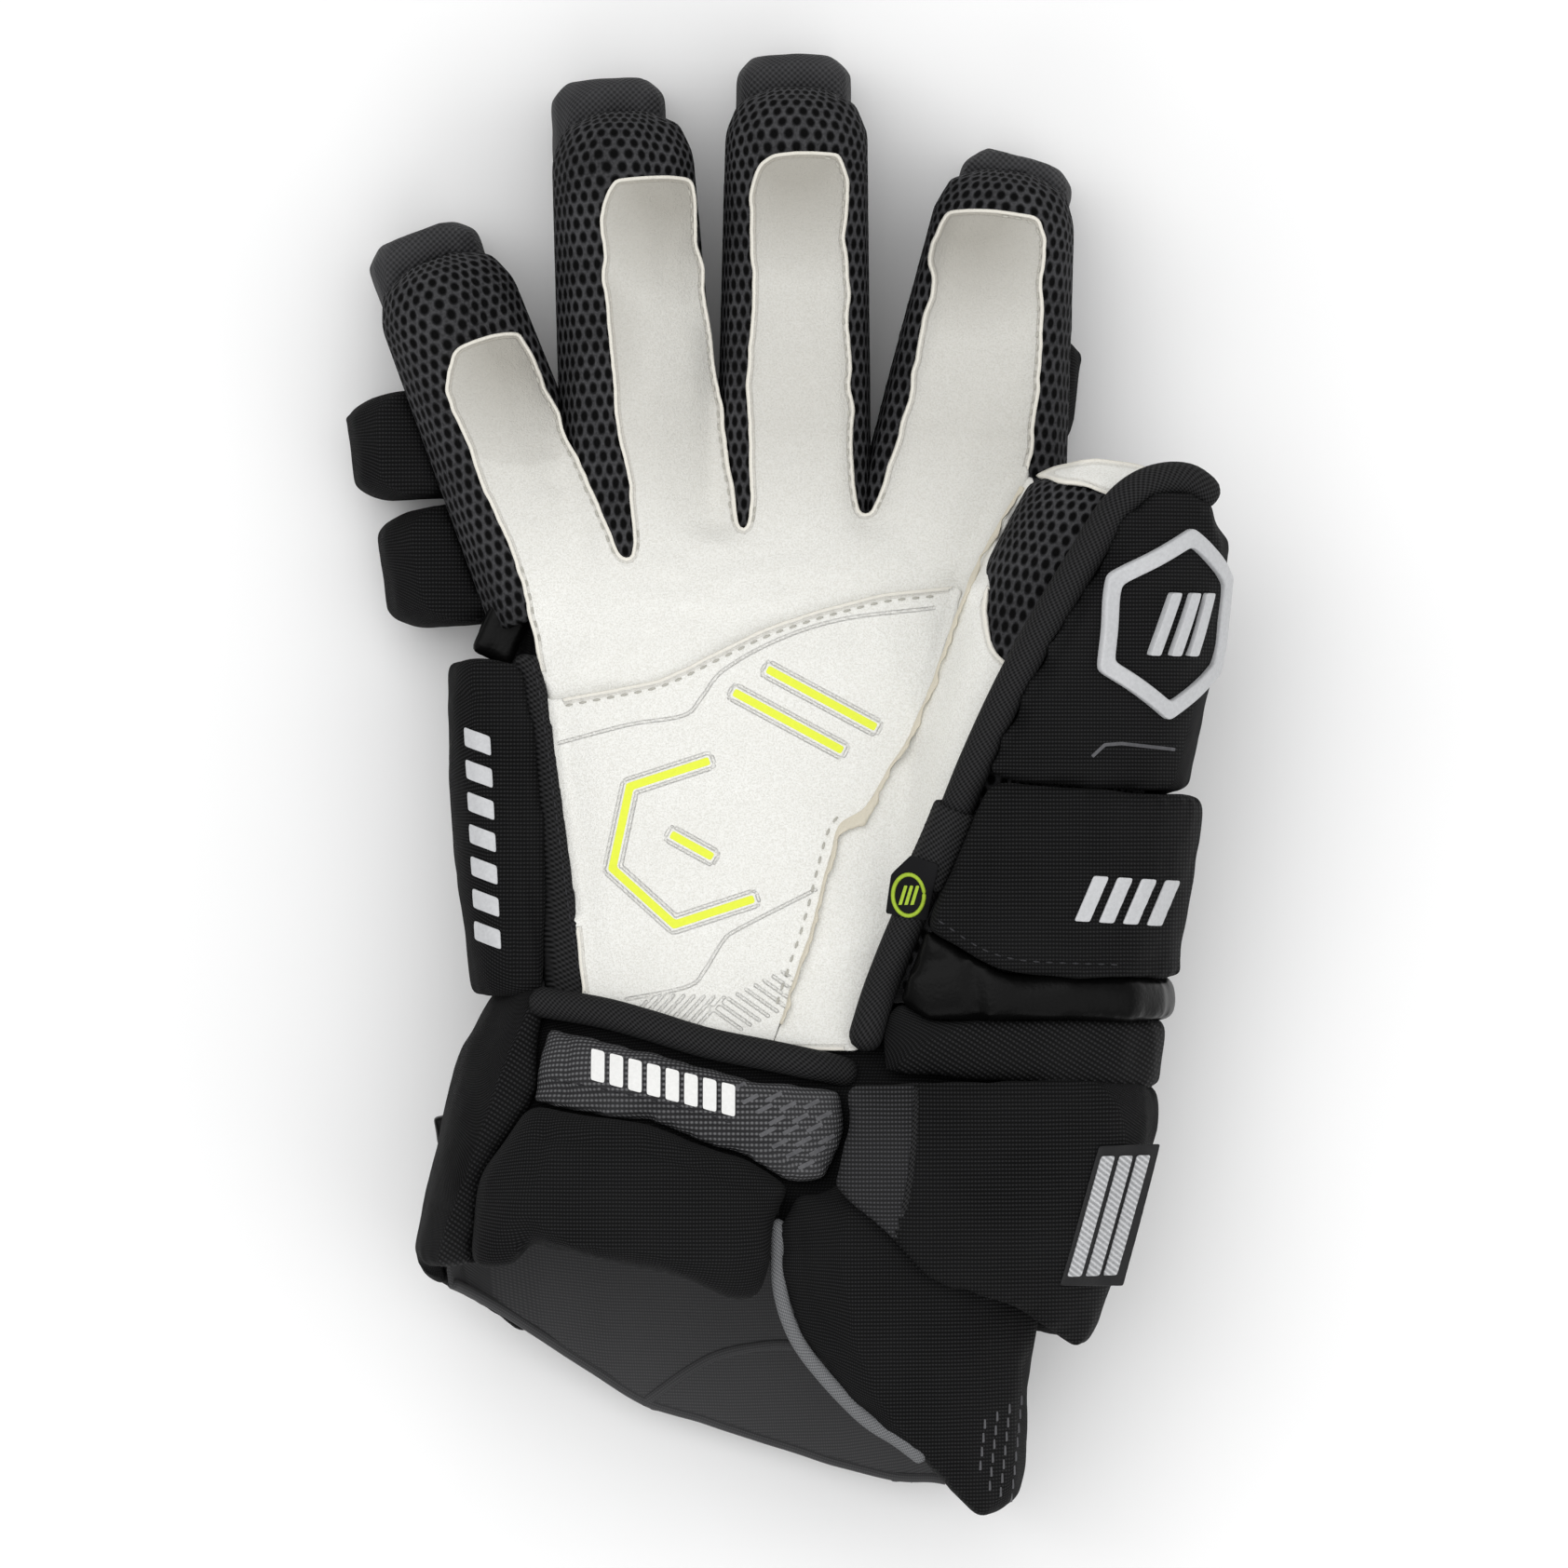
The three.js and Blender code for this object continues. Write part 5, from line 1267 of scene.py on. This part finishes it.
badge = {"centre": (93, 38, 85), "facing": (0.72, -0.05, 0.69), "outer": 23, "inner": 18.5, "thick": 1.9}
facing = Vector(badge["facing"]).normalized()  # the ring lies on the shell's slope, turned to the thumb's side
side = Vector((0, 1, 0)).cross(facing).normalized()
plane = {"origin": toFrame(*badge["centre"]), "side": side, "upward": facing.cross(side), "facing": facing}
shell = treeOn("thumb_shell_padded")
ring = layOn("thumb_badge_ring", [hexagonAt(badge["outer"])], shell, {"thick": badge["thick"], "finish": "silver",
    "bevel": 0.45, "hole": hexagonAt(badge["inner"]), "rim": 0.8, "round": 1.2, "even": 2.5}, plane)
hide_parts("thumb_badge")
bars = slantBars((-8.5, 0), (8.5, 0), 3, 3.2, 15, 0.3)
layOn("thumb_badge_bars", bars, shell, {"thick": 1.5, "finish": "silver", "bevel": 0.4, "even": 2.0}, plane)

backing = layOn("cuff_badge_back", [[(74.2, -86.0), (89.2, -85.8), (80.2, -119.4), (64.8, -118.8)]],
    treeOn("cuff_roll_padded"), {"thick": 1.7, "finish": "black", "bevel": 0.4, "even": 3.0})
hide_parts("cuff_badge")
layOn("cuff_badge_bars", slantBars((70.6, -102.6), (83.6, -102.6), 3, 3.3, 28.5, 0.285), treeOn("cuff_badge_back"),
    {"thick": 0.8, "finish": "silverRibbed", "bevel": 0.25, "even": 1.5})

piece = softCopy("loop_label", "loop_label_woven", 0.7, 3, 0.35)
points = readPoints(piece) / mm
setRun(piece, "run", points[:, 1], points[:, 0])
finishPiece(piece, ["loop_label"], finishes["tape"])
label = {"centre": (29.6, -26.4), "wide": 3.7, "high": 4.9, "cord": 0.5,
    "outline": [(30.4, -17.0), (36.8, -19.0), (33.8, -32.4), (24.4, -30.8), (25.6, -21.4)]}
layOn("loop_label_face", [label["outline"]], treeOn("loop_label_woven", "thumb_edge_roll_tape",
    "thumb_leather_suede"), {"thick": 0.9, "slot": "nylon", "finish": "label", "bevel": 0.25, "even": 1.6})
angles = np.arange(38) * math.pi / 18  # once round and a little over
circle = label["centre"] + np.column_stack([label["wide"] * np.cos(angles), label["high"] * np.sin(angles)])
tree = treeOn("loop_label_face")
depths = depthsOn(tree, circle, flatPlane, 1.0)
line = np.column_stack([circle, (flatPlane["origin"].z + depths) / mm + 0.1])
tube("label_ring", line, label["cord"], "green", sides=6)
layOn("label_bars", slantBars((27.6, -26.4), (31.8, -26.4), 3, 0.8, 4.6, 0.3), tree,
    {"thick": 0.25, "slot": "nylon", "finish": "green", "rim": 0.3, "round": 0.3})
print("stage: badges made")


# Grey piping along the slit of the cuff, and stitches in black cloth

piping = {"radius": 1.75, "sunk": 2.0, "path": [(-1.5, -103), (-1.2, -118), (2.1, -129.6), (8.4, -139), (18.8, -150),
    (27, -155.6), (33.4, -160.6)]}
slit = smoothLine(piping["path"], 0.8)
flap = treeOn("cuff_side_flap_padded")
tops = []
for p in slit:
    near = [topOf(flap, *(p + d)) for d in ((1.4, 0.4), (2.6, 1.0), (3.6, 1.6))]
    tops.append(max([t for t in near if t is not None] or [0]))
known = [k for k, t in enumerate(tops) if t > 0]
tops = np.interp(np.arange(len(slit)), known, [tops[k] for k in known])
tops = soften(tops[:, None], 5, closed=False)[:, 0]
line = np.column_stack([slit, tops - piping["sunk"]])
tube("slit_piping", line, piping["radius"], "piping", flatten=0.7)
black = {"pitch": 2.9, "length": 2.0, "radius": 0.28, "slot": "nylon", "finish": "threadBlack"}
blackRows = {
    "tape_stitches": ("side_tape_woven", [(-48.9, -45), (-51.4, -30.8), (-55, -4), (-58.6, 22), (-60.4, 29)]),
    "thumb_roll_stitches": ("thumb_roll_padded", [(36, -32), (52, -41), (80, -43)]),
    "strap_stitches": ("wrist_strap_padded", [(-56, -70), (-31, -75), (-12, -80.5)]),
}
for name, (carrier, line) in blackRows.items():
    stitchRow(name, [smoothLine(line)], treeOn(carrier), black)
print("stage: piping and black stitches laid")


# Floor and light

bpy.ops.object.select_all(action="DESELECT")
bpy.ops.mesh.primitive_plane_add(size=6, location=(0, 0, 0))
floor = bpy.context.active_object
floor.name = "studio_floor"
paper = newFinish("matt white paper, studio floor", 0.9)[0]
paper.node_tree.nodes["Principled BSDF"].inputs["Base Color"].default_value = toLinear("fafafa")
floor.data.materials.append(paper)

lamps = {
    "key_light": {"place": (-0.5, 0.6, 1.9), "size": 1.9, "power": 20},
    "fill_light": {"place": (1.0, -0.3, 1.5), "size": 1.8, "power": 9.5},
    "low_light": {"place": (-0.2, -1.3, 1.0), "size": 1.2, "power": 5},
}
for name, look in lamps.items():
    lamp = bpy.data.objects.new(name, bpy.data.lights.new(name, "AREA"))
    lamp.data.shape = "SQUARE"
    lamp.data.size = look["size"]
    lamp.data.energy = look["power"]
    lamp.location = look["place"]
    lamp.rotation_euler = (Vector(look["place"]) - Vector((0, 0, 0.04))).to_track_quat("Z", "Y").to_euler()
    bpy.context.scene.collection.objects.link(lamp)
world = bpy.data.worlds.new("studio")
bpy.context.scene.world = world
world.use_nodes = True
sky = {"colour": (1, 1, 1, 1), "strength": 0.52}
world.node_tree.nodes["Background"].inputs[0].default_value = sky["colour"]
world.node_tree.nodes["Background"].inputs[1].default_value = sky["strength"]
bpy.context.scene.view_settings.view_transform = "Standard"
print("stage: light set")
